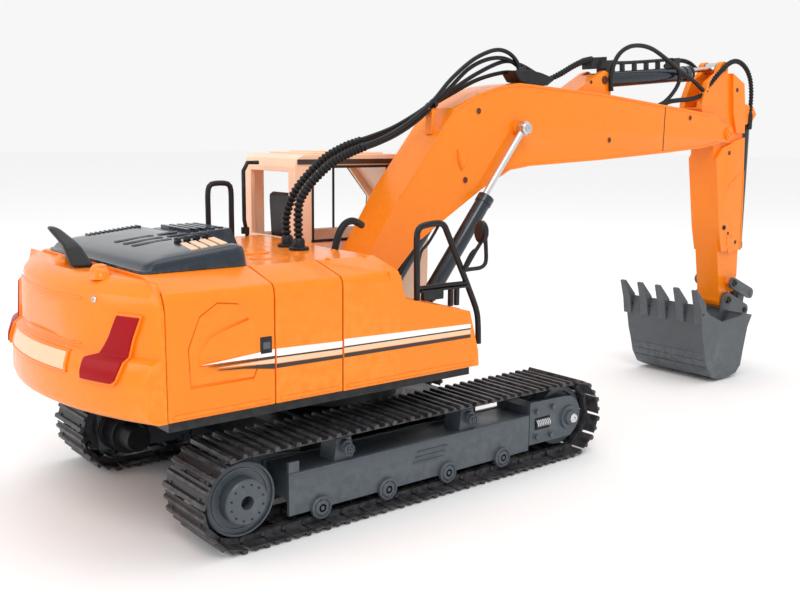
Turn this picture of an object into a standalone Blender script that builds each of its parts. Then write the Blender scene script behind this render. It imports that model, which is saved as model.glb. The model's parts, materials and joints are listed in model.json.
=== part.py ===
"""Radio-controlled excavator, 1:16 class. +X is forward, +Y is the cab side, +Z is up.

Every length below is in millimetres, in a frame whose origin is on the ground under the
swing axis. mesh_object() turns them into metres and moves the whole machine by SHIFT_X,
which puts the middle of its length at x = 0.
"""

import math

import bmesh
import bpy
from mathutils import Vector

MM = 0.001
SHIFT_X = -123.46

# Undercarriage
TRACK_IN, TRACK_OUT = 51.8, 92.4
WHEEL_X, WHEEL_Z = 112.0, 24.2
TRACK_R, GROOVE_R, BELT_IN_R, PITCH_R = 24.2, 22.4, 18.9, 21.5
SHOES = 50
WHEEL_R = 18.3
AXLE_R, BORE_R = 3.0, 3.3
ROLLER_X = [-68.0, -26.2, 15.6, 57.4]
ROLLER_R, ROLLER_Z = 4.2, 10.0

# Swing drive
RING_TEETH, PINION_TEETH, MODULE = 60, 12, 1.0
# The pinion stands behind and to the right of the swing axis, facing a tooth of the ring
PINION_TURN, PINION_AT = 216.0, (-29.246, -21.249)

# Upper body
SIDE_Y, BODY_Z, DECK_Z = 85.1, 67.0, 130.0
SEAMS = [-147.3, -92.6, -53.8, -18.0]
WALL = 2.2

# Pins of the digging gear, as (x, z)
FOOT, ARM_PIN, BUCKET_PIN = (12.0, 100.0), (376.4, 195.7), (391.0, 59.0)
ROCKER_PIN, LINK = (393.5, 73.5), (26.0, -11.0)
BOOM_CYL_A, BOOM_CYL_B = (50.0, 86.0), (136.0, 197.5)
ARM_CYL_C, ARM_CYL_D = (226.4, 232.0), (371.0, 247.0)
BUCKET_CYL_G = (418.9, 212.0)
CYL_Y = 19.6
# Each barrel leans this much off the line of its pins, so that its rod stays in the gland
BOOM_LEAN, ARM_LEAN = 0.7, 0.95


# ---------------------------------------------------------------- shapes

def clear_scene():
    for obj in list(bpy.data.objects):
        bpy.data.objects.remove(obj, do_unlink=True)


def mesh_object(verts, faces):
    """A closed mesh from millimetre points, with its normals facing out."""
    mesh = bpy.data.meshes.new("solid")
    mesh.from_pydata([(MM * (x + SHIFT_X), MM * y, MM * z) for x, y, z in verts], [], faces)
    work = bmesh.new()
    work.from_mesh(mesh)
    bmesh.ops.recalc_face_normals(work, faces=work.faces)
    work.to_mesh(mesh)
    work.free()
    obj = bpy.data.objects.new("solid", mesh)
    bpy.context.scene.collection.objects.link(obj)
    return obj


def loft(rings, closed=False):
    """Skin through rings of equal length; closed joins the last ring to the first."""
    n, verts, faces = len(rings[0]), [], []
    for ring in rings:
        verts.extend(ring)
    count = len(rings)
    for i in range(count if closed else count - 1):
        a, b = i * n, ((i + 1) % count) * n
        faces += [(a + k, a + (k + 1) % n, b + (k + 1) % n, b + k) for k in range(n)]
    if not closed:
        faces += [tuple(range(n)), tuple(range((count - 1) * n, count * n))]
    return mesh_object(verts, faces)


def on_plane(axis, point, level):
    """A point of an outline, put on the plane square to the axis at this level."""
    a, b = point
    return {"x": (level, a, b), "y": (a, level, b), "z": (a, b, level)}[axis]


def prism(outline, axis, lo, hi):
    return loft([[on_plane(axis, p, level) for p in outline] for level in (lo, hi)])


def box(x0, x1, y0, y1, z0, z1):
    return prism([(x0, z0), (x1, z0), (x1, z1), (x0, z1)], "y", y0, y1)


def arc(cx, cy, r, start, stop, steps):
    """Points of an arc, with its angles in degrees."""
    angles = [math.radians(start + (stop - start) * k / steps) for k in range(steps + 1)]
    return [(cx + r * math.cos(a), cy + r * math.sin(a)) for a in angles]


def ring_points(origin, direction, s, r, n):
    d = Vector(direction).normalized()
    u = Vector((0, 0, 1)) if abs(d.z) < 0.9 else Vector((0, 1, 0))
    u = (u - d * u.dot(d)).normalized()
    v = d.cross(u)
    middle = Vector(origin) + d * s
    turns = [2 * math.pi * (k + 0.5) / n for k in range(n)]
    return [tuple(middle + r * (math.cos(t) * u + math.sin(t) * v)) for t in turns]


def turned(origin, direction, profile, n=24):
    """A solid turned on a lathe: the profile is (distance along the axis, radius)."""
    return loft([ring_points(origin, direction, s, r, n) for s, r in profile])


def bored(origin, direction, profile, n=24):
    """The same with a hole through it: the profile goes round the section and closes."""
    return loft([ring_points(origin, direction, s, r, n) for s, r in profile], closed=True)


def pin_y(x, z, r, y0, y1, n=16):
    return turned((x, 0, z), (0, 1, 0), [(y0, r), (y1, r)], n)


def pipe(points, r, n=8):
    """A round bar along a path, mitred at its corners."""
    path = [Vector(p) for p in points]
    ways = [(b - a).normalized() for a, b in zip(path, path[1:])]
    side = ways[0].orthogonal().normalized()
    rings = []
    for k, point in enumerate(path):
        before, after = ways[max(k - 1, 0)], ways[min(k, len(ways) - 1)]
        tangent = (before + after).normalized()
        side = (side - tangent * side.dot(tangent)).normalized()
        other = tangent.cross(side)
        turns = [2 * math.pi * j / n for j in range(n)]
        rings.append([tuple(point + r * (math.cos(t) * side + math.sin(t) * other)) for t in turns])
    return loft(rings)


def combine(base, pieces, operation):
    """Booleans, applied; the pieces are used up."""
    for piece in pieces:
        modifier = base.modifiers.new("combine", "BOOLEAN")
        modifier.operation = operation
        modifier.solver = "EXACT"
        modifier.object = piece
        bpy.context.view_layer.update()
        graph = bpy.context.evaluated_depsgraph_get()
        mesh = bpy.data.meshes.new_from_object(base.evaluated_get(graph))
        base.modifiers.clear()
        base.data = mesh
        bpy.data.objects.remove(piece, do_unlink=True)
    return base


def merge(base, *pieces):
    return combine(base, pieces, "UNION")


def cut(base, *pieces):
    return combine(base, pieces, "DIFFERENCE")


MATERIALS = {
    "orange": (0.93, 0.27, 0.035, 0.35, 0.0),
    "slate_blue": (0.05, 0.065, 0.085, 0.3, 0.0),
    "slate_grey": (0.09, 0.105, 0.125, 0.5, 0.0),
    "track": (0.03, 0.026, 0.024, 0.6, 0.0),
    "steel": (0.5, 0.5, 0.5, 0.3, 1.0),
    "cylinder": (0.04, 0.05, 0.06, 0.3, 0.6),
    "bucket_grey": (0.09, 0.095, 0.1, 0.6, 0.3),
    "black": (0.015, 0.015, 0.016, 0.45, 0.0),
    "red": (0.45, 0.02, 0.015, 0.25, 0.0),
    "pale": (0.95, 0.6, 0.35, 0.4, 0.0),
}


def node(name, obj, material, pivot=(0, 0, 0)):
    """Names a piece and puts its origin on its pivot, which is in millimetres."""
    place = Vector((MM * (pivot[0] + SHIFT_X), MM * pivot[1], MM * pivot[2]))
    for vertex in obj.data.vertices:
        vertex.co -= place
    obj.location = place
    obj.name = name
    obj.data.name = name
    obj.data.materials.clear()
    if material not in bpy.data.materials:
        made = bpy.data.materials.new(material)
        made.use_nodes = True
        r, g, b, rough, metal = MATERIALS[material]
        shader = made.node_tree.nodes["Principled BSDF"]
        shader.inputs["Base Color"].default_value = (r, g, b, 1)
        shader.inputs["Roughness"].default_value = rough
        shader.inputs["Metallic"].default_value = metal
    obj.data.materials.append(bpy.data.materials[material])
    return obj


# ---------------------------------------------------------------- undercarriage

def belt_point(s, r):
    """A point of the belt's loop: s runs once round it from 0 to 1, r is its radius at the wheels."""
    half, bend = 2 * WHEEL_X, math.pi * PITCH_R
    way = s * 2 * (half + bend)
    if way < half:
        return (WHEEL_X - way, WHEEL_Z + r)
    if way < half + bend:
        turn = math.pi / 2 + (way - half) / PITCH_R
        return (-WHEEL_X + r * math.cos(turn), WHEEL_Z + r * math.sin(turn))
    if way < 2 * half + bend:
        return (-WHEEL_X + way - half - bend, WHEEL_Z - r)
    turn = -math.pi / 2 + (way - 2 * half - bend) / PITCH_R
    return (WHEEL_X + r * math.cos(turn), WHEEL_Z + r * math.sin(turn))


def track_belt(y0, y1):
    outer, inner = [], []
    for k in range(SHOES):
        for share, r in ((0.04, GROOVE_R), (0.12, TRACK_R), (0.88, TRACK_R), (0.96, GROOVE_R)):
            outer.append(belt_point((k + share) / SHOES, r))
        inner += [belt_point((k + 0.25) / SHOES, BELT_IN_R), belt_point((k + 0.75) / SHOES, BELT_IN_R)]
    verts = [on_plane("y", p, y) for y in (y0, y1) for p in outer + inner]
    n, m = len(outer), len(inner)
    total = n + m
    faces = [(k, (k + 1) % n, total + (k + 1) % n, total + k) for k in range(n)]
    faces += [(n + k, n + (k + 1) % m, total + n + (k + 1) % m, total + n + k) for k in range(m)]
    for k in range(SHOES):
        following = (k + 1) % SHOES
        rim = [4 * k, 4 * k + 1, 4 * k + 2, 4 * k + 3, 4 * following,
               n + 2 * following, n + 2 * k + 1, n + 2 * k]
        faces += [tuple(rim), tuple(total + v for v in rim)]
    return mesh_object(verts, faces)


def sprocket(side):
    teeth = []
    for k in range(16):
        for share, r in ((-0.3, 15.6), (-0.12, WHEEL_R - 0.2), (0.12, WHEEL_R - 0.2), (0.3, 15.6)):
            a = 2 * math.pi * (k + share) / 16
            teeth.append((-WHEEL_X + r * math.cos(a), WHEEL_Z + r * math.sin(a)))
    body = bored((-WHEEL_X, 0, WHEEL_Z), (0, side, 0),
                 [(60, BORE_R), (60, 12), (79, 12), (79, WHEEL_R), (83.4, WHEEL_R), (83.4, 11.2),
                  (89.9, 11.2), (90.7, 10.2), (90.7, BORE_R)], 32)
    rim = prism(teeth, "y", *sorted((side * 66, side * 71)))
    rim = cut(rim, pin_y(-WHEEL_X, WHEEL_Z, 8, *sorted((side * 64, side * 73))))
    return merge(body, rim)


def idler(side):
    return bored((WHEEL_X, 0, WHEEL_Z), (0, side, 0),
                 [(62, BORE_R), (62, 9), (65, 9), (65, 15), (62.5, 15), (62.5, WHEEL_R), (68, WHEEL_R),
                  (68, 17), (74, 17), (74, WHEEL_R), (79.5, WHEEL_R), (79.5, 15), (77, 15),
                  (77, 9), (80, 9), (80, BORE_R)], 32)


def roller(side, x):
    return turned((x, 0, ROLLER_Z), (0, side, 0),
                  [(58.4, 2.5), (61.5, 2.5), (61.5, ROLLER_R), (68, ROLLER_R), (68, 3.4), (76, 3.4),
                   (76, ROLLER_R), (82.5, ROLLER_R), (82.5, 2.5), (85.5, 2.5), (85.5, 4.1),
                   (87.0, 4.1), (87.6, 3.4)], 16)


def across(side, a, b):
    """Two distances from the middle plane, as y values on this side in rising order."""
    return sorted((side * a, side * b))


def track_frame(side):
    plate = [(-86, 9.3), (80.3, 9.3), (80.3, 31), (-80, 31), (-80, 36.5), (-86, 36.5)]
    frame = merge(
        box(-84, 80.3, *across(side, 59.2, 84), 15.6, 30.4),
        prism(plate, "y", *across(side, 83, 85.1)),
        box(-86, 80.3, *across(side, 59, 61), 9.3, 31),
        prism([(-124, 13), (-124, 35), (-110, 38), (-62, 31), (-62, 15.6), (-80, 10)],
              "y", *across(side, 56.6, 59.6)),
    )
    slots = [box(x - 3.1, x + 3.1, *across(side, 57.5, 86), 5, 13.1) for x in ROLLER_X]
    pocket = box(60, 82, *across(side, 65.5, 78.5), 17.6, 28.4)
    shaft = pin_y(-WHEEL_X, WHEEL_Z, BORE_R, *across(side, 50, 62))
    frame = cut(frame, pocket, shaft, *slots)
    posts = []
    for x in (-52, 32.5):
        posts.append(prism([(x - 6, 29), (x + 6, 29), (x + 4.5, 42.2), (x - 4.5, 42.2)],
                           "y", *across(side, 70, 83)))
        posts.append(pin_y(x, 38.2, 3.4, *across(side, 80, 86.2)))
    return merge(frame, *posts)


def idler_fork(side):
    cheek = [(80.9, 12.2), (117, 11.8)] + arc(112, 24.6, 13, -55, 70, 8) + [(111, 37.5), (80.9, 38.2)]
    fork = merge(
        prism(cheek, "y", *across(side, 82, 85.1)),
        prism(cheek, "y", *across(side, 57.2, 60.4)),
        box(81.1, 91.5, *across(side, 58, 84), 14.6, 35),
        box(62, 84, *across(side, 66, 78), 18, 28),
        pin_y(WHEEL_X, WHEEL_Z, AXLE_R, *across(side, 56.4, 86)),
        turned((114, 0, 24.2), (0, side, 0), [(84.5, 7.5), (86.6, 7), (86.6, 4.8), (88.6, 4.4), (89.4, 3)], 16),
    )
    relief = box(85, 98, *across(side, 83.6, 86), 20.5, 28)
    bolts = [pin_y(x, z, 1.6, *across(side, 84, 87), 8) for x, z in ((86, 32), (99.7, 33), (86.4, 16.6), (98.7, 16))]
    return merge(cut(fork, relief), *bolts)


def travel_motor(side):
    return turned((-WHEEL_X, 0, WHEEL_Z), (0, side, 0),
                  [(28, 7), (40, 8), (40, 11), (54, 11), (54, 12.5), (56.2, 12.5), (56.2, AXLE_R), (86, AXLE_R)])


def centre_frame():
    base = merge(
        box(-45, 45, -46, 46, 16, 40),
        box(-62, -30, -58.6, 58.6, 17, 38),
        box(30, 62, -58.6, 58.6, 17, 38),
        turned((0, 0, 0), (0, 0, 1), [(36, 44), (41, 42), (41, 38), (52, 38)], 32),
    )
    return cut(base, turned((0, 0, 0), (0, 0, 1), [(42, 22), (54, 22)], 32))


def gear_outline(teeth, phase):
    pitch_r = teeth * MODULE / 2
    outline = []
    for k in range(teeth):
        for share, r in ((-0.33, pitch_r - 1.25), (-0.12, pitch_r + 1), (0.12, pitch_r + 1), (0.33, pitch_r - 1.25)):
            a = 2 * math.pi * (k + share + phase) / teeth
            outline.append((r * math.cos(a), r * math.sin(a)))
    return outline


def slew_gear():
    ring = prism(gear_outline(RING_TEETH, 0), "z", 52.3, 57.4)
    return cut(ring, turned((0, 0, 0), (0, 0, 1), [(50, 22), (60, 22)], 32))


def swing_pinion():
    facing = (PINION_TURN - 180) / (360 / PINION_TEETH) + 0.5
    outline = [(x + PINION_AT[0], y + PINION_AT[1]) for x, y in gear_outline(PINION_TEETH, facing)]
    shaft = turned((*PINION_AT, 0), (0, 0, 1), [(56, 2.0), (66.2, 2.0)], 12)
    return merge(prism(outline, "z", 52.7, 57.2), shaft)


# ---------------------------------------------------------------- upper body

def turntable_frame():
    frame = merge(
        box(-146, 34, -82, 82, 62, 66.6),
        turned((0, 0, 0), (0, 0, 1), [(42.4, 21.6), (58, 21.6), (58, 44), (63, 44)], 32),
    )
    bracket = [(-6, 66), (60, 66), (60, 83), (55, 91), (45, 91.6), (31, 103), (22, 110)]
    bracket += arc(12, 100, 11.5, 60, 180, 6) + [(-3, 90), (-6, 80)]
    plates = []
    for side in (-1, 1):
        plates.append(prism(bracket, "y", *across(side, 14.7, 17.2)))
        plates.append(pin_y(*BOOM_CYL_A, 2.5, *across(side, 16, 22.6)))
        plates.append(pin_y(*FOOT, 5.2, *across(side, 16.5, 19.6), 16))
    plates.append(pin_y(*FOOT, AXLE_R, -17, 17))
    plates.append(box(26, 60, -17.2, 17.2, 62.5, 69))
    return cut(merge(frame, *plates), turned((*PINION_AT, 0), (0, 0, 1), [(55, 2.7), (70, 2.7)], 12))


def counterweight():
    front = SEAMS[0] - 0.4
    rings = []
    for z, r in ((67, 174), (69, 177), (72, 178), (88, 177.5), (94, 175.5), (96, 172.2), (116, 171.6),
                 (122, 170), (126, 166.5), (128.5, 162)):
        edge = 85.0 if z < 118 else 85.0 - (z - 118) * 0.55
        ys = [edge * math.sin(math.radians(a)) for a in range(-90, 91, 10)]
        ring = [(min(-math.sqrt(r * r - y * y), front - 1.2), y, z) for y in ys]
        rings.append([(front, -edge, z)] + ring + [(front, edge, z)])
    weight = loft(rings)
    domes = [turned((x, y, 0), (0, 0, 1), [(126, 4.4), (130, 4.4), (132, 3.2), (132.6, 1.4)], 12)
             for x, y in ((-156.5, 7), (-154.7, -33))]
    recess = box(-174, -170.6, -40, 40, 99, 115)
    return cut(merge(weight, *domes), recess)


def deck_profile(side, inset):
    """The section of the side covers: side wall, rounded shoulder, sloping edge and flat deck."""
    y, z = SIDE_Y - inset, DECK_Z - inset
    points = [(y, BODY_Z - inset), (y, 119.5), (y - 0.6, 122.3), (y - 2.4, 124.4 - inset), (62, z), (0.3 + inset, z),
              (0.3 + inset, BODY_Z - inset)]
    return [(side * a, b) for a, b in points]


def side_cover(side, x0, x1):
    outer = prism(deck_profile(side, 0), "x", x0, x1)
    inner = prism(deck_profile(side, WALL), "x", x0 + WALL, x1 - WALL)
    return cut(outer, inner)


def right_rear_cover():
    cover = side_cover(-1, SEAMS[0], SEAMS[1] - 0.3)
    scoop = [(-136, 81), (-104, 81), (-102, 86), (-104, 106), (-112, 117), (-122, 118.5), (-131, 113), (-137, 99)]
    return cut(cover, prism(scoop, "y", -SIDE_Y - 3, -SIDE_Y + 1.2))


def right_mid_cover():
    return side_cover(-1, SEAMS[1] + 0.3, SEAMS[2] - 0.3)


def right_front_cover():
    step = [(-25, 67), (-25, 124), (-17.6, 122), (-16.3, 114.3), (-14.2, 109.4), (30.9, 98.4), (32.5, 93),
            (37.5, 75.7), (38.3, 67)]
    hollow = [(-30, 60), (-30, 106.5), (-13.5, 106.9), (29, 96.3), (30.2, 92), (35.1, 75.4), (35.9, 60)]
    back = prism(deck_profile(-1, 0), "x", SEAMS[2] + 0.3, SEAMS[3])
    inner = prism(deck_profile(-1, WALL), "x", SEAMS[2] + 0.3 + WALL, SEAMS[3] - WALL)
    front = prism(step, "y", -SIDE_Y + 0.01, -28)
    cover = cut(merge(back, front), inner, prism(hollow, "y", -SIDE_Y + WALL, -28 - WALL))
    return merge(cover, box(37, 44.5, -52, -40, 74, 79.5))


def left_cover():
    return side_cover(1, SEAMS[0], -12.4)


def hood(x0, x1, y0, y1, z0, z1, z2, inset, cuts):
    """A lid with sloping sides; its top rises from z1 at the back to z2 at the front."""
    base = [(x0, y0, z0), (x1, y0, z0), (x1, y1, z0), (x0, y1, z0)]
    top = [(x0 + 2, y0 + inset, z1), (x1 - 3, y0 + inset, z2), (x1 - 3, y1 - inset, z2), (x0 + 2, y1 - inset, z1)]
    lid = loft([base, top])
    return cut(lid, *cuts) if cuts else lid


def engine_hood():
    slots = [box(-136, -106, y, y + 3.2, 134.2, 145) for y in (-36, -29, -22, 12, 19, 26)]
    return hood(-147, -92, -62, 58, 130.3, 136, 140.5, 7, slots)


def cab_shell():
    outline = [(-10, 67.3), (88, 67.3), (94, 73), (95, 100), (95, 153), (79.5, 170), (74, 177), (67, 180.5),
               (-3, 180.5), (-8.5, 178), (-10, 173)]
    room = [(-7, 84), (90, 84), (92, 100), (92, 152), (77, 168.5), (72, 175), (66, 178), (-3, 178), (-7, 174)]
    side_window = [(3, 129), (60, 129), (86, 129), (88, 150), (74.5, 166), (69, 172.5), (3, 172.5)]
    cab = cut(prism(outline, "y", 25.7, 85), prism(room, "y", 28.0, 82.4), prism(side_window, "y", 20, 90),
              box(80, 100, 32, 78, 106, 150), box(-14, -5, 33, 77, 130, 170))
    window = prism([(76, 172.8), (92.6, 153.6), (98, 158), (82, 176)], "y", 32, 78)
    bottom = box(-7, 80, 28.2, 82, 60, 81)
    return cut(cab, window, bottom)


def cab_seat():
    seat = merge(
        box(2, 34, 42, 66, 84.4, 92),
        prism([(0, 90)] + arc(22, 98, 6, -60, 80, 4) + [(4, 103)], "y", 40, 68),
        prism([(-1, 92), (7, 92), (5, 130), (2, 152), (-1, 157), (-4, 155), (-4, 150)], "y", 43, 65),
    )
    return seat


def exhaust_fin():
    base = [(-161, -14), (-150, -16), (-148, -8), (-158, -4)]
    middle = [(-161, -4), (-153, -6), (-151, 4), (-159, 6)]
    tip = [(-161, 16), (-156, 15), (-155, 22), (-160, 24)]
    return loft([[(x, y, z) for x, y in ring] for ring, z in ((base, 128.9), (middle, 139), (tip, 146))])


def tail_lamp(side):
    """A bent lamp on the counterweight: a slanted leg over a block that points to the middle."""
    rings = []
    for z, a0, a1, r in ((85, 196, 202.4, 177.6), (88, 196, 203.3, 177.5), (94, 196.2, 203.9, 175.5),
                         (96, 198.4, 204.1, 172.2), (104, 200.4, 204.9, 172.1), (113.4, 202, 206.2, 171.7)):
        turns = [math.radians(a0 + (a1 - a0) * k / 4) for k in range(5)]
        rings.append([((r + 2.2) * math.cos(t), -side * (r + 2.2) * math.sin(t), z) for t in turns]
                     + [((r + 0.4) * math.cos(t), -side * (r + 0.4) * math.sin(t), z) for t in reversed(turns)])
    return loft(rings)


def rear_handrail():
    return pipe([(-49.5, 60, 130.2), (-49.5, 60, 158), (-47, 60, 162.5), (-36, 60, 162.5), (-33.8, 60, 158),
                 (-33.8, 60, 130.2)], 1.3)


def cab_side_rail():
    rail = pipe([(-23, 60, 130.2), (-25, 60, 140), (-25, 60, 170), (-22, 60, 175), (-14.5, 60, 175)], 1.3)
    return merge(rail, turned((-24.4, 60, 0), (0, 0, 1), [(131.5, 2.6), (135.5, 2.6)], 10))


def front_handrail():
    y = -80.0
    hoop = pipe([(-2.6, y, 107), (-3.2, y, 141), (-0.5, y, 145.5), (13, y, 146.7), (16, y, 145), (34.5, y, 109.5),
                 (40.6, y, 97), (42.4, y, 78)], 1.35)
    return merge(hoop, pipe([(-3, y, 113), (34, y, 113)], 1.2))


def side_mirror():
    y = -80.0
    stay = pipe([(28.2, y - 3.2, 121), (36, y - 3.2, 131), (40.5, y - 3.2, 136)], 1.1)
    disc = turned((39.6, y - 3.2, 141), (1, -0.25, 0), [(-1.6, 4.6), (-1, 6.2), (1, 6.2), (1.8, 5.4)], 16)
    return merge(disc, stay)


def swing_motor():
    return turned((*PINION_AT, 0), (0, 0, 1), [(66.9, 8.6), (69.5, 8.6), (69.5, 7.8), (98, 7.8), (98, 3), (101, 3)])


# ---------------------------------------------------------------- digging gear

def boom():
    lower = [(37.4, 112.9), (54.5, 129.4), (75.3, 141.9), (103.8, 158.4), (119.6, 165.7), (130.3, 170.7),
             (148.9, 173), (219.8, 176.3), (294.7, 180.9), (343.3, 184.6), (368, 189)]
    nose = arc(*ARM_PIN, 7.4, -70, 70, 6)
    upper = [(366, 205), (358, 210.3), (291.6, 216.3), (216.8, 222.6), (175.5, 224.5), (137, 226.3), (119, 223.7),
             (101.9, 218.8), (81.2, 209.1), (61.4, 184.9), (38.5, 157.3), (17.7, 125.7)]
    heel = arc(*FOOT, 9.0, 130, 300, 9)
    body = prism(lower + nose + upper + heel, "y", -14, 14)
    ear = [(194, 222), (221.8, 237), (226.4, 238.6), (230.6, 237), (233, 232), (234, 219)]
    body = merge(body, prism(ear, "y", -9.6, 9.6))
    body = cut(
        body,
        pin_y(*FOOT, BORE_R, -20, 20),
        box(328, 400, -10.8, 10.8, 150, 240),
        box(219, 240, -5.6, 5.6, 223.4, 245),
    )
    extras = [pin_y(*ARM_PIN, AXLE_R, -15.2, 15.2), pin_y(*ARM_CYL_C, 2.2, -8, 8, 12)]
    for side in (-1, 1):
        extras.append(pin_y(*ARM_PIN, 5.0, *across(side, 13, 15.6), 16))
        extras.append(pin_y(*BOOM_CYL_B, 5.0, *across(side, 13, 17.2), 16))
        extras.append(pin_y(*BOOM_CYL_B, 2.5, *across(side, 13, 22.4), 12))
    return merge(body, *extras)


def arm():
    tail = [(352, 203), (343.5, 215), (344.5, 223), (351, 236), (364, 243), (376, 243), (388, 240), (397.5, 235.5)]
    front = [(401, 215), (406, 141.6), (407.9, 78), (403, 68)]
    foot = arc(*BUCKET_PIN, 7.6, 20, -200, 8)
    narrow = prism(tail + front + foot + [(377, 101), (370, 150), (363, 178), (362, 190)], "y", -10.4, 10.4)
    wide = prism([(363.8, 176), (372, 184.6), (382, 187.4), (389.6, 190.4), (402.6, 193), (405.8, 141.6), (407.3, 100),
                  (379, 100), (373.5, 120)], "y", -13, 13)
    cheeks = prism([(380, 243.4), (396.9, 235.9), (400.6, 215), (402, 196.5), (389.8, 196.5), (384, 212)],
                   "y", -13, 13)
    lug = prism([(398, 222), (418.9, 217.5), (423.7, 212), (418.9, 206.8), (399, 200)], "y", -9, 9)
    body = merge(narrow, wide, cheeks, lug)
    body = cut(
        body,
        pin_y(*ARM_PIN, BORE_R, -16, 16),
        box(338, 379, -5.4, 5.4, 216, 250),
        box(410.5, 430, -5.8, 5.8, 195, 225),
    )
    extras = [pin_y(*ARM_CYL_D, 2.2, -9.5, 9.5, 12), pin_y(*BUCKET_CYL_G, 2.2, -8, 8, 12),
              pin_y(*BUCKET_PIN, 2.5, -15.6, 15.6, 12), pin_y(*ROCKER_PIN, 2.5, -18.4, 18.4, 12)]
    ears = [prism([(362, 238), (376, 238), (376.5, 247)] + arc(371, 247, 5.4, 10, 170, 6) + [(364, 243)],
                  "y", *across(side, 5.6, 10.3)) for side in (-1, 1)]
    return merge(body, *ears, *extras)


def link_end():
    return (BUCKET_PIN[0] + LINK[0], BUCKET_PIN[1] + LINK[1]), (ROCKER_PIN[0] + LINK[0], ROCKER_PIN[1] + LINK[1])


def strap(a, b, r, steps=6):
    """The outline of a link with round ends, around two pins."""
    turn = math.degrees(math.atan2(b[1] - a[1], b[0] - a[0]))
    return arc(*b, r, turn - 90, turn + 90, steps) + arc(*a, r, turn + 90, turn + 270, steps)


def bucket():
    shell = [(323, 63.5), (323, 50), (326, 36), (329, 28), (333, 15), (340, 5), (348, 1.7), (366, 1.7), (375, 3.4),
             (381, 9), (383.5, 21), (388, 40), (393.5, 49.6)]
    rim = [(384, 51.6), (377.6, 49.9), (352.3, 47.8), (333.7, 55.5)]
    inner = [(325.6, 80), (325.4, 50), (328.4, 36.6), (331.4, 28.8), (335.2, 16.2), (341.4, 7), (348.4, 4), (365.6, 4),
             (374, 5.6), (378.8, 10.2), (381.2, 21.8), (385.9, 41), (389.5, 47.5), (389, 80)]
    body = cut(prism(shell + rim, "y", -36, 36), prism(inner, "y", -33.8, 33.8))
    lip = prism([(322.6, 50), (325.8, 50), (325.8, 63.2), (323, 64)], "y", -35.9, 35.9)
    teeth = []
    for y in (-34.0, -17.2, 0.0, 17.2, 34.0):
        root = [(321.2, y - 3.6, 49), (327.4, y - 3.6, 51), (327.4, y + 3.6, 51), (321.2, y + 3.6, 49)]
        neck = [(319.0, y - 3.6, 62), (325.2, y - 3.6, 65), (325.2, y + 3.6, 65), (319.0, y + 3.6, 62)]
        tip = [(312.8, y - 2.2, 76.4), (314.6, y - 2.2, 77), (314.6, y + 2.2, 77), (312.8, y + 2.2, 76.4)]
        teeth.append(loft([root, neck, tip]))
    end, _ = link_end()
    ears = []
    for side in (-1, 1):
        outline = arc(*BUCKET_PIN, 6.2, 60, 150, 4) + [(383.4, 46), (382.6, 24), (386.6, 23)] + arc(*end, 5.4, -100, 50, 6)
        ears.append(prism(outline, "y", *across(side, 11.5, 14.4)))
    pins = [pin_y(*end, 2.2, -14.9, 14.9, 12)]
    holes = [pin_y(*BUCKET_PIN, 2.8, -18, 18, 16)]
    return merge(cut(merge(body, lip, *teeth, *ears), *holes), *pins)


def rocker_link():
    _, end = link_end()
    pieces = [prism(strap(ROCKER_PIN, end, 4.6), "y", *across(side, 15.1, 17.4)) for side in (-1, 1)]
    holes = [pin_y(*ROCKER_PIN, 2.8, -20, 20, 16)]
    body = merge(pieces[0], pin_y(*end, 2.2, -18.2, 18.2, 12), pieces[1])
    return cut(body, *holes)


def bucket_link():
    low, high = link_end()
    body = prism(strap(high, low, 4.4), "y", -9.4, 9.4)
    body = cut(body, pin_y(*high, 5.6, -4.6, 4.6, 20), pin_y(*high, 2.5, -12, 12, 16), pin_y(*low, 2.5, -12, 12, 16))
    return body


def cylinder_barrel(base, way, y, eye_r, eye_half, r, bore_r, start, stop, hole_r):
    """An eye on its pin and an open-ended tube; way is a unit direction in the xz plane."""
    origin, along = (base[0], y, base[1]), (way[0], 0, way[1])
    tube = turned(origin, along, [(start, r * 0.8), (start + 2, r), (stop - 5, r), (stop - 5, r + 0.5),
                                  (stop, r + 0.5)], 20)
    neck = turned(origin, along, [(eye_r * 0.5, eye_half), (start + 1, eye_half)], 12)
    body = merge(pin_y(base[0], base[1], eye_r, y - eye_half, y + eye_half), neck, tube)
    return cut(body, turned(origin, along, [(start + 5, bore_r), (stop + 2, bore_r)], 16),
               pin_y(base[0], base[1], hole_r, y - 9, y + 9))


def cylinder_rod(end, way, y, eye_r, eye_half, r, length, hole_r):
    """A rod that hangs back from its eye along the barrel's direction."""
    origin, along = (end[0], y, end[1]), (-way[0], 0, -way[1])
    rod = turned(origin, along, [(eye_r * 0.6, r), (length - 0.6, r), (length, r * 0.7)], 12)
    body = merge(pin_y(end[0], end[1], eye_r, y - eye_half, y + eye_half), rod)
    return cut(body, pin_y(end[0], end[1], hole_r, y - 9, y + 9))


def unit(a, b, lean=0.0):
    """The direction from a to b in the xz plane, turned by lean degrees about +Y."""
    turn = math.atan2(b[0] - a[0], b[1] - a[1]) + math.radians(lean)
    return (math.sin(turn), math.cos(turn))


# ---------------------------------------------------------------- the machine

def build_undercarriage():
    node("centre_frame", centre_frame(), "slate_grey")
    node("slew_gear", slew_gear(), "steel")
    for side, word in ((-1, "right"), (1, "left")):
        node("track_frame_" + word, track_frame(side), "slate_grey")
        node("track_belt_" + word, track_belt(*across(side, TRACK_IN, TRACK_OUT)), "track")
        node("idler_fork_" + word, idler_fork(side), "slate_grey")
        node("travel_motor_" + word, travel_motor(side), "black")
        node("sprocket_" + word, sprocket(side), "slate_grey", (-WHEEL_X, 0, WHEEL_Z))
        node("idler_" + word, idler(side), "slate_grey", (WHEEL_X, 0, WHEEL_Z))
        for k, x in enumerate(ROLLER_X):
            node("roller_" + word + "_" + str(k + 1), roller(side, x), "slate_grey", (x, 0, ROLLER_Z))


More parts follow.
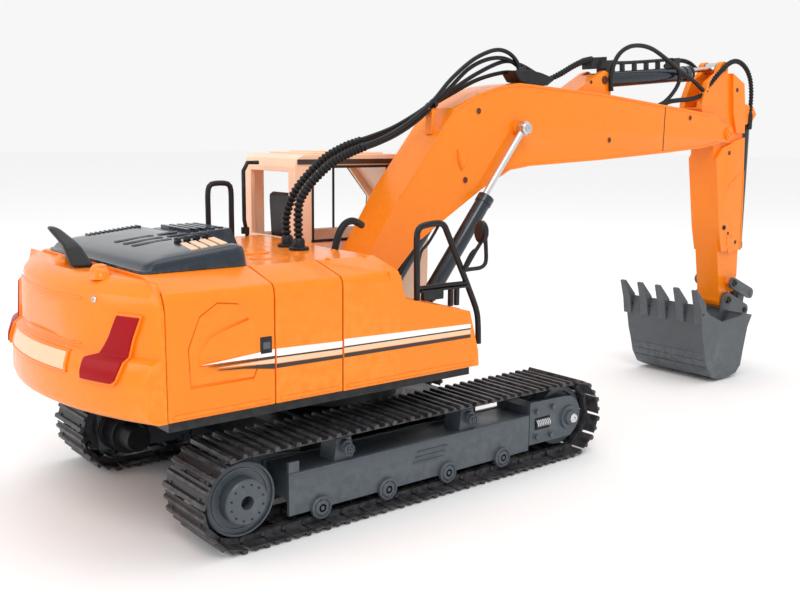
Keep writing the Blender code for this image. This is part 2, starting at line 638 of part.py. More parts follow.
def build_upper():
    node("turntable_frame", turntable_frame(), "black")
    node("counterweight", counterweight(), "orange")
    node("right_rear_cover", right_rear_cover(), "orange")
    node("right_mid_cover", right_mid_cover(), "orange")
    node("right_front_cover", right_front_cover(), "orange")
    node("left_cover", left_cover(), "orange")
    node("engine_hood", engine_hood(), "slate_blue")
    node("side_hood", hood(-91.2, -58, 8, 56, 130.3, 139, 141, 3, []), "slate_blue")
    node("cab_shell", cab_shell(), "pale")
    node("cab_seat", cab_seat(), "black")
    node("exhaust_fin", exhaust_fin(), "black")
    node("tail_lamp_right", tail_lamp(-1), "red")
    node("tail_lamp_left", tail_lamp(1), "red")
    node("rear_handrail", rear_handrail(), "black")
    node("cab_side_rail", cab_side_rail(), "black")
    node("front_handrail", front_handrail(), "black")
    node("side_mirror", side_mirror(), "black")
    node("swing_motor", swing_motor(), "black")
    node("swing_pinion", swing_pinion(), "steel", (*PINION_AT, 0))
    node("battery_pack", box(-138, -96, 6, 74, 68, 96), "slate_blue")
    node("control_board", box(-86, -52, 26, 78, 68, 74), "slate_blue")


def build_gear():
    node("boom", boom(), "orange", (FOOT[0], 0, FOOT[1]))
    node("arm", arm(), "orange", (ARM_PIN[0], 0, ARM_PIN[1]))
    node("bucket", bucket(), "bucket_grey", (BUCKET_PIN[0], 0, BUCKET_PIN[1]))
    node("rocker_link", rocker_link(), "bucket_grey", (ROCKER_PIN[0], 0, ROCKER_PIN[1]))
    low, high = link_end()
    node("bucket_link", bucket_link(), "bucket_grey", (high[0], 0, high[1]))
    way = unit(BOOM_CYL_A, BOOM_CYL_B, BOOM_LEAN)
    for side, word in ((-1, "right"), (1, "left")):
        y = side * CYL_Y
        barrel = cylinder_barrel(BOOM_CYL_A, way, y, 5.0, 2.0, 5.0, 4.25, 9.5, 87, 2.8)
        node("boom_cylinder_barrel_" + word, barrel, "cylinder", (BOOM_CYL_A[0], 0, BOOM_CYL_A[1]))
        rod = cylinder_rod(BOOM_CYL_B, way, y, 4.6, 2.0, 2.1, 102, 2.8)
        node("boom_cylinder_rod_" + word, rod, "steel", (BOOM_CYL_B[0], 0, BOOM_CYL_B[1]))
    way = unit(ARM_CYL_C, ARM_CYL_D, ARM_LEAN)
    barrel = cylinder_barrel(ARM_CYL_C, way, 0, 5.0, 4.6, 5.6, 4.9, 9, 109, 2.5)
    node("arm_cylinder_barrel", barrel, "cylinder", (ARM_CYL_C[0], 0, ARM_CYL_C[1]))
    node("arm_cylinder_rod", cylinder_rod(ARM_CYL_D, way, 0, 4.6, 4.6, 1.9, 84, 2.5), "steel",
         (ARM_CYL_D[0], 0, ARM_CYL_D[1]))
    way = (0.0, -1.0)
    barrel = cylinder_barrel(BUCKET_CYL_G, way, 0, 4.8, 4.6, 5.6, 4.9, 9, 112, 2.5)
    node("bucket_cylinder_barrel", barrel, "cylinder", (BUCKET_CYL_G[0], 0, BUCKET_CYL_G[1]))
    node("bucket_cylinder_rod", cylinder_rod(high, way, 0, 4.4, 3.9, 1.9, 88, 2.5), "steel", (high[0], 0, high[1]))


clear_scene()
build_undercarriage()
build_upper()
build_gear()
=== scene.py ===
"""Looks of the radio-controlled excavator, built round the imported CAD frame.

Lengths are millimetres in the CAD's own drawing frame: ground at z = 0 and the swing axis at
x = y = 0. at() turns a point into the frame's metres.
"""

import json
import math

import bmesh
import bpy
from mathutils import Matrix, Vector


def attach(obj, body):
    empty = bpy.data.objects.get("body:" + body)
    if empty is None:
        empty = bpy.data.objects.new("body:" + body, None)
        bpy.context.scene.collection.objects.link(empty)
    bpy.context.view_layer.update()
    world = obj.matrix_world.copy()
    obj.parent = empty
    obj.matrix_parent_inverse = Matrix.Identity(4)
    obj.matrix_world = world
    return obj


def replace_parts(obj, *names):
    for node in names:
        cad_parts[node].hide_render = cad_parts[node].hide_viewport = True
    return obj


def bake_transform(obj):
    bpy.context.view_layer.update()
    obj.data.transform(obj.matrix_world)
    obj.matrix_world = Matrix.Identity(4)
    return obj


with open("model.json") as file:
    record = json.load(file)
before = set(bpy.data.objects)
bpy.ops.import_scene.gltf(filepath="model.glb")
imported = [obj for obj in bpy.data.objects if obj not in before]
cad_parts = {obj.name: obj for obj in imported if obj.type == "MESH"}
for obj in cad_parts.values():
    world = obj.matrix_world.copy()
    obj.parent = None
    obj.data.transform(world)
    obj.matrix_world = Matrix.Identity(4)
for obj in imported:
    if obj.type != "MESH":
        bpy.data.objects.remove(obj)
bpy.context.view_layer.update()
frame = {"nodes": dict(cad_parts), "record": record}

MM = 0.001  # metres in one
SHIFT_X = -123.46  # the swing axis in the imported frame, which has the object's middle at x = 0
BODY_OF = {n: b for b, nodes in frame["record"]["behaviour"]["bodies"].items() for n in nodes}
SLOT_OF = {s["node"]: s["material_slot"] for s in frame["record"]["subparts"]}


def at(p):
    """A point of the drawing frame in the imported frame's metres."""
    return Vector((MM * (p[0] + SHIFT_X), MM * p[1], MM * p[2]))


# ---------------------------------------------------------------- camera, floor and light

def add_camera():
    """The camera behind and to the right of the machine, looking slightly down."""
    azimuth, pitch, roll = math.radians(-38.912), math.radians(-9.622), math.radians(0.526)
    ahead = Vector((-math.sin(azimuth) * math.cos(pitch), math.cos(azimuth) * math.cos(pitch), math.sin(pitch)))
    level = Vector((math.cos(azimuth), math.sin(azimuth), 0))
    above = level.cross(ahead)
    right = math.cos(roll) * level + math.sin(roll) * above
    up = -math.sin(roll) * level + math.cos(roll) * above
    data = bpy.data.cameras.new("camera")
    data.lens, data.sensor_width = 43.80, 36.0
    data.clip_start, data.clip_end = 0.01, 20
    camera = bpy.data.objects.new("camera", data)
    bpy.context.scene.collection.objects.link(camera)
    turn = Matrix((right, up, -ahead)).transposed()
    eye = at((-326.41, -466.91, 192.48))
    camera.matrix_world = Matrix.Translation(eye) @ turn.to_4x4()
    bpy.context.scene.camera = camera


def add_area(name, place, aim, size, power):
    """A soft round light; place, aim and size are in metres."""
    data = bpy.data.lights.new(name, "AREA")
    data.shape, data.size, data.energy = "DISK", size, power
    light = bpy.data.objects.new(name, data)
    bpy.context.scene.collection.objects.link(light)
    light.location = place
    light.rotation_euler = (Vector(aim) - Vector(place)).to_track_quat("-Z", "Y").to_euler()


def add_stage():
    """The pale floor, the even white surroundings and three soft lights."""
    reach, level = 9, -0.0002  # just under the tracks, so that the two don't lie in one plane
    corners = [(-reach, -reach, level), (reach, -reach, level), (reach, reach, level), (-reach, reach, level)]
    mesh = bpy.data.meshes.new("floor")
    mesh.from_pydata(corners, [], [(0, 1, 2, 3)])
    floor = bpy.data.objects.new("floor", mesh)
    bpy.context.scene.collection.objects.link(floor)
    made = bpy.data.materials.new("floor")
    made.use_nodes = True
    shader = made.node_tree.nodes["Principled BSDF"]
    shader.inputs["Base Color"].default_value = (0.97, 0.97, 0.97, 1)
    shader.inputs["Roughness"].default_value = 0.75
    mesh.materials.append(made)
    world = bpy.data.worlds.new("studio")
    world.use_nodes = True
    background = world.node_tree.nodes["Background"]
    background.inputs["Color"].default_value = (1, 1, 1, 1)
    background.inputs["Strength"].default_value = 0.93
    bpy.context.scene.world = world
    bpy.context.scene.view_settings.view_transform = "Standard"
    add_area("key", (-0.9, -1.2, 1.6), (0, 0, 0.1), 0.8, 10)
    add_area("top", (0.2, 0.1, 1.8), (0, 0, 0.1), 1.4, 5)
    add_area("side", (-1.5, 0.6, 0.7), (0, 0, 0.12), 0.8, 3)


# ---------------------------------------------------------------- materials

def finish(name, colour, rough, metal=0.0, coat=0.0, grain=900, bump=0.05, shift=0.06, wear=0.0,
           worn=(0.4, 0.4, 0.4), shine=0.5):
    """A moulded, painted or metal surface: mottled colour, uneven gloss, grain and worn edges."""
    made = bpy.data.materials.new(name)
    made.use_nodes = True
    tree = made.node_tree
    shader = tree.nodes["Principled BSDF"]
    shader.inputs["Metallic"].default_value = metal
    shader.inputs["Coat Weight"].default_value = coat
    shader.inputs["Specular IOR Level"].default_value = shine
    shader.inputs["Coat Roughness"].default_value = 0.12
    place = tree.nodes.new("ShaderNodeTexCoord").outputs["Object"]

    def noise(scale, detail):
        made_noise = tree.nodes.new("ShaderNodeTexNoise")
        made_noise.inputs["Scale"].default_value = scale
        made_noise.inputs["Detail"].default_value = detail
        tree.links.new(place, made_noise.inputs["Vector"])
        return made_noise.outputs["Fac"]

    def spread(value, low, high, start=0.3, stop=0.7):
        made_range = tree.nodes.new("ShaderNodeMapRange")
        made_range.inputs["From Min"].default_value = start
        made_range.inputs["From Max"].default_value = stop
        made_range.inputs["To Min"].default_value = low
        made_range.inputs["To Max"].default_value = high
        tree.links.new(value, made_range.inputs["Value"])
        return made_range.outputs["Result"]

    mix = tree.nodes.new("ShaderNodeMix")
    mix.data_type = "RGBA"
    mix.inputs["A"].default_value = (*[c * (1 - shift) for c in colour], 1)
    mix.inputs["B"].default_value = (*[min(1, c * (1 + shift)) for c in colour], 1)
    tree.links.new(spread(noise(28, 4), 0, 1), mix.inputs["Factor"])
    shown = mix.outputs["Result"]
    if wear:
        edge = tree.nodes.new("ShaderNodeNewGeometry").outputs["Pointiness"]
        gate = tree.nodes.new("ShaderNodeMath")
        gate.operation = "MULTIPLY"
        tree.links.new(spread(edge, 0, wear, 0.53, 0.6), gate.inputs[0])
        tree.links.new(spread(noise(240, 3), 0, 1, 0.4, 0.6), gate.inputs[1])
        over = tree.nodes.new("ShaderNodeMix")
        over.data_type = "RGBA"
        over.inputs["B"].default_value = (*worn, 1)
        tree.links.new(gate.outputs["Value"], over.inputs["Factor"])
        tree.links.new(shown, over.inputs["A"])
        shown = over.outputs["Result"]
    tree.links.new(shown, shader.inputs["Base Color"])
    tree.links.new(spread(noise(70, 3), rough * 0.85, min(1, rough * 1.2)), shader.inputs["Roughness"])
    lift = tree.nodes.new("ShaderNodeBump")
    lift.inputs["Strength"].default_value = bump
    lift.inputs["Distance"].default_value = 0.0004
    tree.links.new(noise(grain, 2), lift.inputs["Height"])
    tree.links.new(lift.outputs["Normal"], shader.inputs["Normal"])
    return made


LOOKS = {
    "orange": finish("orange_gloss", (0.96, 0.235, 0.006), 0.25, coat=0.22, shift=0.015, wear=0.12,
                     worn=(1.0, 0.5, 0.12), shine=0.25),
    "pale": finish("peach_gloss", (0.97, 0.62, 0.42), 0.34, coat=0.3, shift=0.03, wear=0.2, worn=(1, 0.8, 0.62)),
    "slate_blue": finish("slate_gloss", (0.012, 0.022, 0.034), 0.15, coat=0.16, shift=0.04, wear=0.2,
                         worn=(0.2, 0.23, 0.26), shine=0.35),
    "slate_grey": finish("slate_satin", (0.068, 0.084, 0.1), 0.42, bump=0.1, shift=0.05, wear=0.22,
                         worn=(0.16, 0.18, 0.2)),
    "track": finish("track_plastic", (0.02, 0.019, 0.021), 0.45, bump=0.2, shift=0.12, wear=0.5,
                    worn=(0.1, 0.1, 0.11)),
    "steel": finish("bright_steel", (0.66, 0.66, 0.68), 0.2, metal=1.0, grain=1500, bump=0.04),
    "cylinder": finish("cylinder_paint", (0.008, 0.014, 0.022), 0.26, metal=0.2, coat=0.3, shift=0.05, wear=0.25,
                       worn=(0.12, 0.15, 0.18)),
    "bucket_grey": finish("bucket_paint", (0.078, 0.09, 0.1), 0.46, metal=0.15, bump=0.14, shift=0.05, wear=0.25,
                          worn=(0.2, 0.22, 0.24)),
    "black": finish("satin_black", (0.006, 0.006, 0.008), 0.36, bump=0.1, shift=0.15, shine=0.35, wear=0.25,
                    worn=(0.07, 0.07, 0.08)),
    "red": finish("lamp_red", (0.36, 0.002, 0.006), 0.3, coat=0.06, grain=300, shift=0.04, shine=0.12),
    "white": finish("decal_white", (0.95, 0.92, 0.87), 0.35, shift=0.02),
    "peach": finish("decal_peach", (0.95, 0.58, 0.36), 0.35, shift=0.02),
    "brown": finish("decal_brown", (0.035, 0.02, 0.016), 0.35, shift=0.08),
    "rubber": finish("hose_rubber", (0.005, 0.006, 0.008), 0.4, bump=0.12, shift=0.15, shine=0.3),
    # Dark orange-brown: the own colour of the boom seam and ear screws, and painted shade on the discs that fill the
    # boom and arm holes.
    "dark": finish("seam_dark_and_painted_hole_shade", (0.09, 0.018, 0.008), 0.6, shift=0.1),
}


# ---------------------------------------------------------------- shapes

def put(obj, look, body, sharp):
    obj.data.materials.clear()
    obj.data.materials.append(LOOKS[look])
    obj.data.shade_smooth()
    obj.data.set_sharp_from_angle(angle=math.radians(sharp))
    if body:
        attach(obj, body)
    return obj


def from_bmesh(name, work, look, body, sharp=32, bevel=0.0):
    """A piece from a finished work mesh, with its edges rounded by bevel millimetres."""
    bmesh.ops.recalc_face_normals(work, faces=work.faces)
    mesh = bpy.data.meshes.new(name)
    work.to_mesh(mesh)
    work.free()
    obj = bpy.data.objects.new(name, mesh)
    bpy.context.scene.collection.objects.link(obj)
    if bevel:
        add_bevel(obj, bevel)
    return put(obj, look, body, sharp)


def add_bevel(obj, width, segments=2, angle=32):
    """Rounds the edges that are sharper than angle degrees."""
    bevel = obj.modifiers.new("edges", "BEVEL")
    bevel.width, bevel.segments = width * MM, segments
    bevel.limit_method, bevel.angle_limit = "ANGLE", math.radians(angle)
    bevel.harden_normals = True


def add_loft(work, rings, closed=False):
    """Skins rings of equal length into the work mesh; closed joins the last ring to the first instead of capping."""
    rows = [[work.verts.new(at(p)) for p in ring] for ring in rings]
    n, count = len(rows[0]), len(rows)
    for i in range(count if closed else count - 1):
        a, b = rows[i], rows[(i + 1) % count]
        for k in range(n):
            work.faces.new((a[k], a[(k + 1) % n], b[(k + 1) % n], b[k]))
    if not closed:
        work.faces.new(rows[0])
        work.faces.new(rows[-1])


def on_plane(axis, p, level):
    """The outline point p at a level of the axis across it."""
    return {"x": (level, p[0], p[1]), "y": (p[0], level, p[1]), "z": (p[0], p[1], level)}[axis]


def add_prism(work, outline, axis, lo, hi):
    """An outline drawn out between two levels of an axis."""
    add_loft(work, [[on_plane(axis, p, level) for p in outline] for level in (lo, hi)])


def add_box(work, x0, x1, y0, y1, z0, z1):
    add_prism(work, [(x0, z0), (x1, z0), (x1, z1), (x0, z1)], "y", y0, y1)


def span(side, a, b):
    """Two distances from the middle plane as y values on one side, the lower first."""
    return sorted((side * a, side * b))


def circle_ring(origin, direction, s, r, n):
    """A ring of n points and radius r round the axis, at the distance s along it."""
    d = Vector(direction).normalized()
    u = Vector((0, 0, 1)) if abs(d.z) < 0.9 else Vector((0, 1, 0))
    u = (u - d * u.dot(d)).normalized()
    v = d.cross(u)
    middle = Vector(origin) + d * s
    turns = [2 * math.pi * (k + 0.5) / n for k in range(n)]
    return [middle + r * (math.cos(t) * u + math.sin(t) * v) for t in turns]


def add_turned(work, origin, direction, profile, n=24, closed=False):
    """A turned shape; the profile holds (distance along the axis, radius)."""
    add_loft(work, [circle_ring(origin, direction, s, r, n) for s, r in profile], closed)


def arc(cx, cy, r, start, stop, steps):
    """Points on an arc, from one angle to another in degrees."""
    angles = [math.radians(start + (stop - start) * k / steps) for k in range(steps + 1)]
    return [(cx + r * math.cos(a), cy + r * math.sin(a)) for a in angles]


def solid(name, look, body, builders, bevel):
    """One piece from a list of (function, arguments)."""
    work = bmesh.new()
    for function, *arguments in builders:
        function(work, *arguments)
    return from_bmesh(name, work, look, body, bevel=bevel)


def smooth_path(points, step):
    """A Catmull-Rom curve through the points, sampled about every step."""
    path = [Vector(p) for p in points]
    ends = [2 * path[0] - path[1]] + path + [2 * path[-1] - path[-2]]
    dense, pieces = [], 24
    for a, b, c, d in zip(ends, ends[1:], ends[2:], ends[3:]):
        for k in range(pieces):
            t = k / pieces
            dense.append(0.5 * (2 * b + (c - a) * t + (2 * a - 5 * b + 4 * c - d) * t ** 2
                                + (3 * b - a - 3 * c + d) * t ** 3))
    dense.append(path[-1])
    out, gone = [dense[0]], 0.0
    for a, b in zip(dense, dense[1:]):
        length = (b - a).length
        while length > 0 and gone + length >= step:
            a = a + (b - a) * ((step - gone) / length)
            out.append(a.copy())
            gone, length = 0.0, (b - a).length
        gone += length
    if (out[-1] - dense[-1]).length > step * 0.3:
        out.append(dense[-1])
    return out


def add_hose(work, points, r, ribs=0.0, pitch=2.4, n=12):
    """A hose along a smooth path; ribs is the height of the rings of a corrugated one."""
    path = smooth_path(points, pitch / 4 if ribs else 2.2)
    side = (path[1] - path[0]).orthogonal().normalized()
    rings = []
    for k, point in enumerate(path):
        tangent = (path[min(k + 1, len(path) - 1)] - path[max(k - 1, 0)]).normalized()
        side = (side - tangent * side.dot(tangent)).normalized()
        other = tangent.cross(side)
        here = r + (ribs * (0.5, 0, -1, 0)[k % 4] if ribs else 0)
        turns = [2 * math.pi * j / n for j in range(n)]
        rings.append([point + here * (math.cos(t) * side + math.sin(t) * other) for t in turns])
    add_loft(work, rings)


def hose(name, points, r, body, ribs=0.0, pitch=2.4, look="rubber", n=12):
    """A hose as a piece of its own."""
    work = bmesh.new()
    add_hose(work, points, r, ribs, pitch, n)
    return from_bmesh(name, work, look, body, sharp=60)


def add_button(work, origin, direction, r, h):
    """A round screw head with a dished socket."""
    add_turned(work, origin, direction, [(-0.3, r), (h * 0.5, r), (h, r * 0.75), (h, r * 0.45), (h * 0.3, r * 0.4)], 14)


def refined(node, bevel=0.5, look=None, segments=2, angle=32, sharp=32):
    """The CAD node's own shape with rounded edges, shown in its place."""
    work = bmesh.new()
    work.from_mesh(frame["nodes"][node].data)
    bmesh.ops.remove_doubles(work, verts=work.verts, dist=2e-6)
    bmesh.ops.dissolve_limit(work, angle_limit=math.radians(1.2), verts=work.verts, edges=work.edges)
    obj = from_bmesh(node + "_skin", work, look or SLOT_OF[node], BODY_OF[node], sharp)
    add_bevel(obj, bevel, segments, angle)
    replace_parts(obj, node)
    return obj


# ---------------------------------------------------------------- undercarriage

WHEEL_X, WHEEL_Z, PITCH_R, SHOES = 112.0, 24.2, 21.5, 50
BELT_INNER, BELT_OUTER = 51.8, 92.4
LINKS = ((60.6, 64.4), (79.8, 83.6))


def belt_frame(s):
    """The place and outward direction of the belt at s, from 0 to 1 round its loop."""
    half, bend = 2 * WHEEL_X, math.pi * PITCH_R
    way = (s % 1) * 2 * (half + bend)
    if way < half:
        return (WHEEL_X - way, WHEEL_Z), (0, 1)
    if way < half + bend:
        t = math.pi / 2 + (way - half) / PITCH_R
        return (-WHEEL_X, WHEEL_Z), (math.cos(t), math.sin(t))
    if way < 2 * half + bend:
        return (-WHEEL_X + way - half - bend, WHEEL_Z), (0, -1)
    t = -math.pi / 2 + (way - 2 * half - bend) / PITCH_R
    return (WHEEL_X, WHEEL_Z), (math.cos(t), math.sin(t))


# Outlines across one shoe and one link: along the belt, and out from the wheels' middle.
SHOE = [(-5.6, 21.8), (-5.6, 22.4), (-5.1, 24.15), (-2.9, 24.15), (-2.3, 22.5), (0.9, 22.5), (1.4, 23.8),
        (3.1, 23.8), (3.7, 22.3), (5.3, 22.2), (5.3, 21.8)]
LINK = [(-6.2, 19.2), (-6.2, 21.0), (-4.6, 22.0), (4.6, 22.0), (6.2, 21.0), (6.2, 19.2), (3.2, 18.95), (-3.2, 18.95)]


def add_on_belt(work, outline, s, y0, y1):
    """A bar with the given outline, placed on the belt at s."""
    (cx, cz), (nx, nz) = belt_frame(s)
    tx, tz = nz, -nx
    placed = [(cx + t * tx + d * nx, cz + t * tz + d * nz) for t, d in outline]
    add_prism(work, placed, "y", y0, y1)


def track_belt(side, word):
    """Shoes with two bars each, their links, screws and pins."""
    work = bmesh.new()
    for k in range(SHOES):
        s = (k + 0.5) / SHOES
        near, far = span(side, BELT_INNER, BELT_OUTER)
        add_on_belt(work, SHOE, s, near + 0.4, far - 0.4)
        for a, b in LINKS:
            add_on_belt(work, LINK, s, *span(side, a, b))
        (cx, cz), (nx, nz) = belt_frame(s)
        for a in (57.5, 86.2):
            for t in (-1.9, 1.9):
                spot = (cx + t * nz + 22.7 * nx, side * a, cz - t * nx + 22.7 * nz)
                add_turned(work, spot, (nx, 0, nz), [(-0.4, 0.75), (0.55, 0.7)], 6)
        (cx, cz), (nx, nz) = belt_frame(k / SHOES)
        pin = (cx + 20.3 * nx, 0, cz + 20.3 * nz)
        add_turned(work, pin, (0, 1, 0), [(y, 1.15) for y in span(side, 59.6, 84.6)], 10)
    for vertex in work.verts:  # the corners of a shoe on the bend would dip under the floor
        vertex.co.z = max(vertex.co.z, 0.0)
    belt = from_bmesh("track_shoes_" + word, work, "track", "undercarriage", 30)
    add_bevel(belt, 0.18, 1)
    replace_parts(belt, "track_belt_" + word)


def add_hub(work, x, z, side, y, r, count):
    """A flanged hub: a rim, a boss with a socket and a ring of small bolts."""
    spot = (x, side * y, z)
    add_turned(work, spot, (0, side, 0), [(-0.4, r), (1.6, r), (2.0, r * 0.92), (2.0, r * 0.82), (1.3, r * 0.76),
                                         (1.3, r * 0.4), (2.2, r * 0.36), (2.2, r * 0.2), (0.8, r * 0.16)], 28)
    for k in range(count):
        t = 2 * math.pi * (k + 0.5) / count
        add_turned(work, (x + r * 0.6 * math.cos(t), side * y, z + r * 0.6 * math.sin(t)), (0, side, 0),
                   [(1.1, r * 0.13), (2.0, r * 0.13), (2.0, r * 0.06), (1.6, r * 0.05)], 8)


def undercarriage():
    """Tracks, wheels, hubs, frame ribs and the swing drive."""
    for side, word in ((-1, "right"), (1, "left")):
        track_belt(side, word)
        for node, bevel in (("track_frame_", 0.5), ("idler_fork_", 0.5), ("sprocket_", 0.35), ("idler_", 0.35),
                            ("travel_motor_", 0.4)):
            refined(node + word, bevel)
        for k in range(1, 5):
            refined("roller_%s_%d" % (word, k), 0.3)
        work, dots = bmesh.new(), bmesh.new()
        dot_count, dot_circle = 12, 8.6
        for k in range(dot_count):
            t = 2 * math.pi * (k + 0.5) / dot_count
            spot = (-WHEEL_X + dot_circle * math.cos(t), side * 90.7, WHEEL_Z + dot_circle * math.sin(t))
            add_turned(dots, spot, (0, side, 0), [(-0.3, 0.55), (0.35, 0.5)], 8)
        for profile in ([(83, 18.2), (84.9, 18.0), (85.2, 17.5), (84.9, 17.0), (83, 16.8)],
                        [(83, 15.2), (84.0, 15.0), (84.0, 14.4), (83, 14.2)]):
            add_turned(work, (-WHEEL_X, 0, WHEEL_Z), (0, side, 0), profile, 48, True)
        from_bmesh("sprocket_dots_" + word, dots, "black", "sprocket_%s_body" % word)
        from_bmesh("sprocket_bolts_" + word, work, "slate_grey", "sprocket_%s_body" % word)
        work = bmesh.new()
        ends = span(side, 84.9, 85.9)
        add_box(work, -85.4, 79.6, *ends, 30.0, 30.9)
        for k, z in enumerate((19.6, 22.4, 25.2)):
            add_box(work, -8 + 1.5 * k, 13 + 1.5 * k, ends[0], ends[1] - 0.4, z, z + 0.7)
        from_bmesh("frame_ribs_" + word, work, "slate_grey", "undercarriage", bevel=0.25)
        for k in range(4):
            work = bmesh.new()
            add_hub(work, -68 + 41.8 * k, 10.2, side, 85.4, 5.8, 6)
            from_bmesh("roller_hub_%s_%d" % (word, k + 1), work, "slate_grey", "roller_%s_%d_body" % (word, k + 1))
        work = bmesh.new()
        for x in (-52, 32.5):
            add_hub(work, x, 37.2, side, 86.6, 3.1, 5)
        from_bmesh("carrier_hubs_" + word, work, "slate_grey", "undercarriage")
        work = bmesh.new()
        for k in range(8):
            add_turned(work, (86.5 + 1.45 * k, side * 83.9, 24.25), (1, 0, 0.12), [(-0.45, 3.2), (0.45, 3.2)], 14)
        from_bmesh("tension_spring_" + word, work, "steel", "undercarriage", bevel=0.2)
        work = bmesh.new()
        add_turned(work, (114, 0, WHEEL_Z), (0, side, 0),
                   [(88.6, 3.0), (90.2, 3.0), (90.8, 2.4), (90.8, 1.3), (89.9, 1.2)], 20)
        from_bmesh("idler_axle_screw_" + word, work, "steel", "undercarriage")
    refined("centre_frame", 0.8, look="black")
    for node in ("slew_gear", "swing_pinion", "swing_motor"):
        refined(node, 0.15)


# ---------------------------------------------------------------- upper body

def counterweight_radius(z):
    """The counterweight's radius round the swing axis at a height."""
    table = ((67, 174), (69, 177), (72, 178), (88, 177.5), (94, 175.5), (96, 172.2), (116, 171.6), (122, 170),
             (126, 166.5), (128.5, 162))
    for (za, ra), (zb, rb) in zip(table, table[1:]):
        if za <= z <= zb:
            return ra + (rb - ra) * (z - za) / (zb - za)
    return table[-1][1]


def add_wrap(work, a0, a1, z0, z1, lift, depth=1.2, steps=14):
    """A plate that follows the counterweight between two angles and two heights."""
    levels = [z0] + [z for z in (69, 72, 88, 94, 96, 116, 122) if z0 + 0.3 < z < z1 - 0.3] + [z1]
    rings = []
    for k in range(steps + 1):
        t = math.radians(a0 + (a1 - a0) * k / steps)
        outer = [(counterweight_radius(z) + lift, z) for z in levels]
        inner = [(counterweight_radius(z) - depth, z) for z in reversed(levels)]
        rings.append([(r * math.cos(t), r * math.sin(t), z) for r, z in outer + inner])
    add_loft(work, rings)


COVER_Y = -85.1  # the face of the right covers


def decal(name, look, outlines, proud):
    """Flat stripes on the right covers; proud is how far each stands off the face."""
    parts = [(add_prism, outline, "y", COVER_Y - lift, COVER_Y + 0.4) for outline, lift in zip(outlines, proud)]
    solid(name, look, "upper", parts, bevel=0.0)


def pointed(x_front, x_tip, z_front, z_tip):
    """The outline of a stripe that tapers to a point at the back."""
    low, high = z_front
    return [(x_front, low), (x_front, high), (x_tip + 14, (high + z_tip * 2) / 3), (x_tip, z_tip),
            (x_tip + 14, (low + z_tip * 2) / 3)]


def side_details():
    """Stripes, scoop, latch and skirt rails of the right covers."""
    y = COVER_Y
    for number, (x0, x1, dz) in enumerate(((-53.2, 31.5, 0.0), (-92.0, -54.4, 0.3))):
        tag, sag = str(number), (1.0, 0.0)[number]
        decal("stripe_white_" + tag, "white",
              [[(x0, 89.7 + dz), (x1, 89.1 + dz - sag * 0.3), (x1, 92.2 + dz - sag), (x0, 93.3 + dz)]], [0.16])
        decal("stripe_peach_" + tag, "peach",
              [[(x0, 86.3 + dz), (x1, 85.6 + dz), (x1, 88.1 + dz), (x0, 88.9 + dz)]], [0.16])
        decal("stripe_brown_" + tag, "brown",
              [[(x0, 84.0 + dz), (x1, 83.6 + dz), (x1, 85.3 + dz), (x0, 86.0 + dz)],
               [(x0, 88.95 + dz), (x1, 88.2 + dz), (x1, 88.9 + dz), (x0, 89.6 + dz)]], [0.16, 0.17])
    for word, look, x_tip, z_tip, z_front, proud in (("white", "white", -130.6, 91.0, (90.4, 93.6), 0.3),
                                                     ("black", "brown", -127.2, 89.8, (89.1, 90.3), 0.31),
                                                     ("peach", "peach", -124.5, 88.8, (86.8, 89.0), 0.3),
                                                     ("brown", "brown", -122.7, 87.6, (84.2, 86.7), 0.31)):
        decal("stripe_%s_tip" % word, look, [pointed(-93.2, x_tip, z_front, z_tip)], [proud])
    ramp = [(-131.3, 90.4), (-130.4, 95.8), (-126.3, 102.2), (-120.3, 104.8), (-106, 109.0), (-102.6, 109.8),
            (-102.6, 90.4)]
    lip = [(-135.8, 82), (-104.2, 82), (-102.6, 86), (-102.6, 90.3), (-131.5, 90.3), (-131.6, 96), (-127, 103.2),
           (-121, 106), (-103.6, 111), (-112, 116.7), (-121.8, 118), (-130.7, 112.6), (-136.4, 99)]
    # Each scoop piece starts level with the cover at x = start and sinks by depth over the run behind it.
    for name, outline, start, run, depth, bevel in (("scoop_ramp", ramp, -104.0, 27, 1.15, 0.2),
                                                    ("scoop_lip", lip, -103.0, 10, 0.75, 0.35)):
        work = bmesh.new()
        add_loft(work, [[(a, y + 1.4, b) for a, b in outline],
                        [(a, y + depth * min(1.0, max(0.0, (start - a) / run)), b) for a, b in outline]])
        from_bmesh(name, work, "orange", "upper", bevel=bevel)
    solid("latch", "black", "upper", [(add_box, -100.8, -94.5, y - 0.45, y + 0.5, 92, 100)], bevel=0.5)
    solid("latch_handle", "slate_grey", "upper", [(add_box, -99.6, -95.7, y - 1.0, y, 94.2, 97.6)], bevel=0.4)
    work = bmesh.new()
    for x0, x1 in ((-90, -56.2), (-51.5, 35), (-145, -95)):
        add_box(work, x0, x1, y - 0.6, y + 0.3, 68.4, 70.2)
    from_bmesh("skirt_rail", work, "orange", "upper", bevel=0.35)


def lid_z(x):
    """The height of the engine lid's shoulder, which rises to the front."""
    return 134.6 + 0.11 * (x + 145)


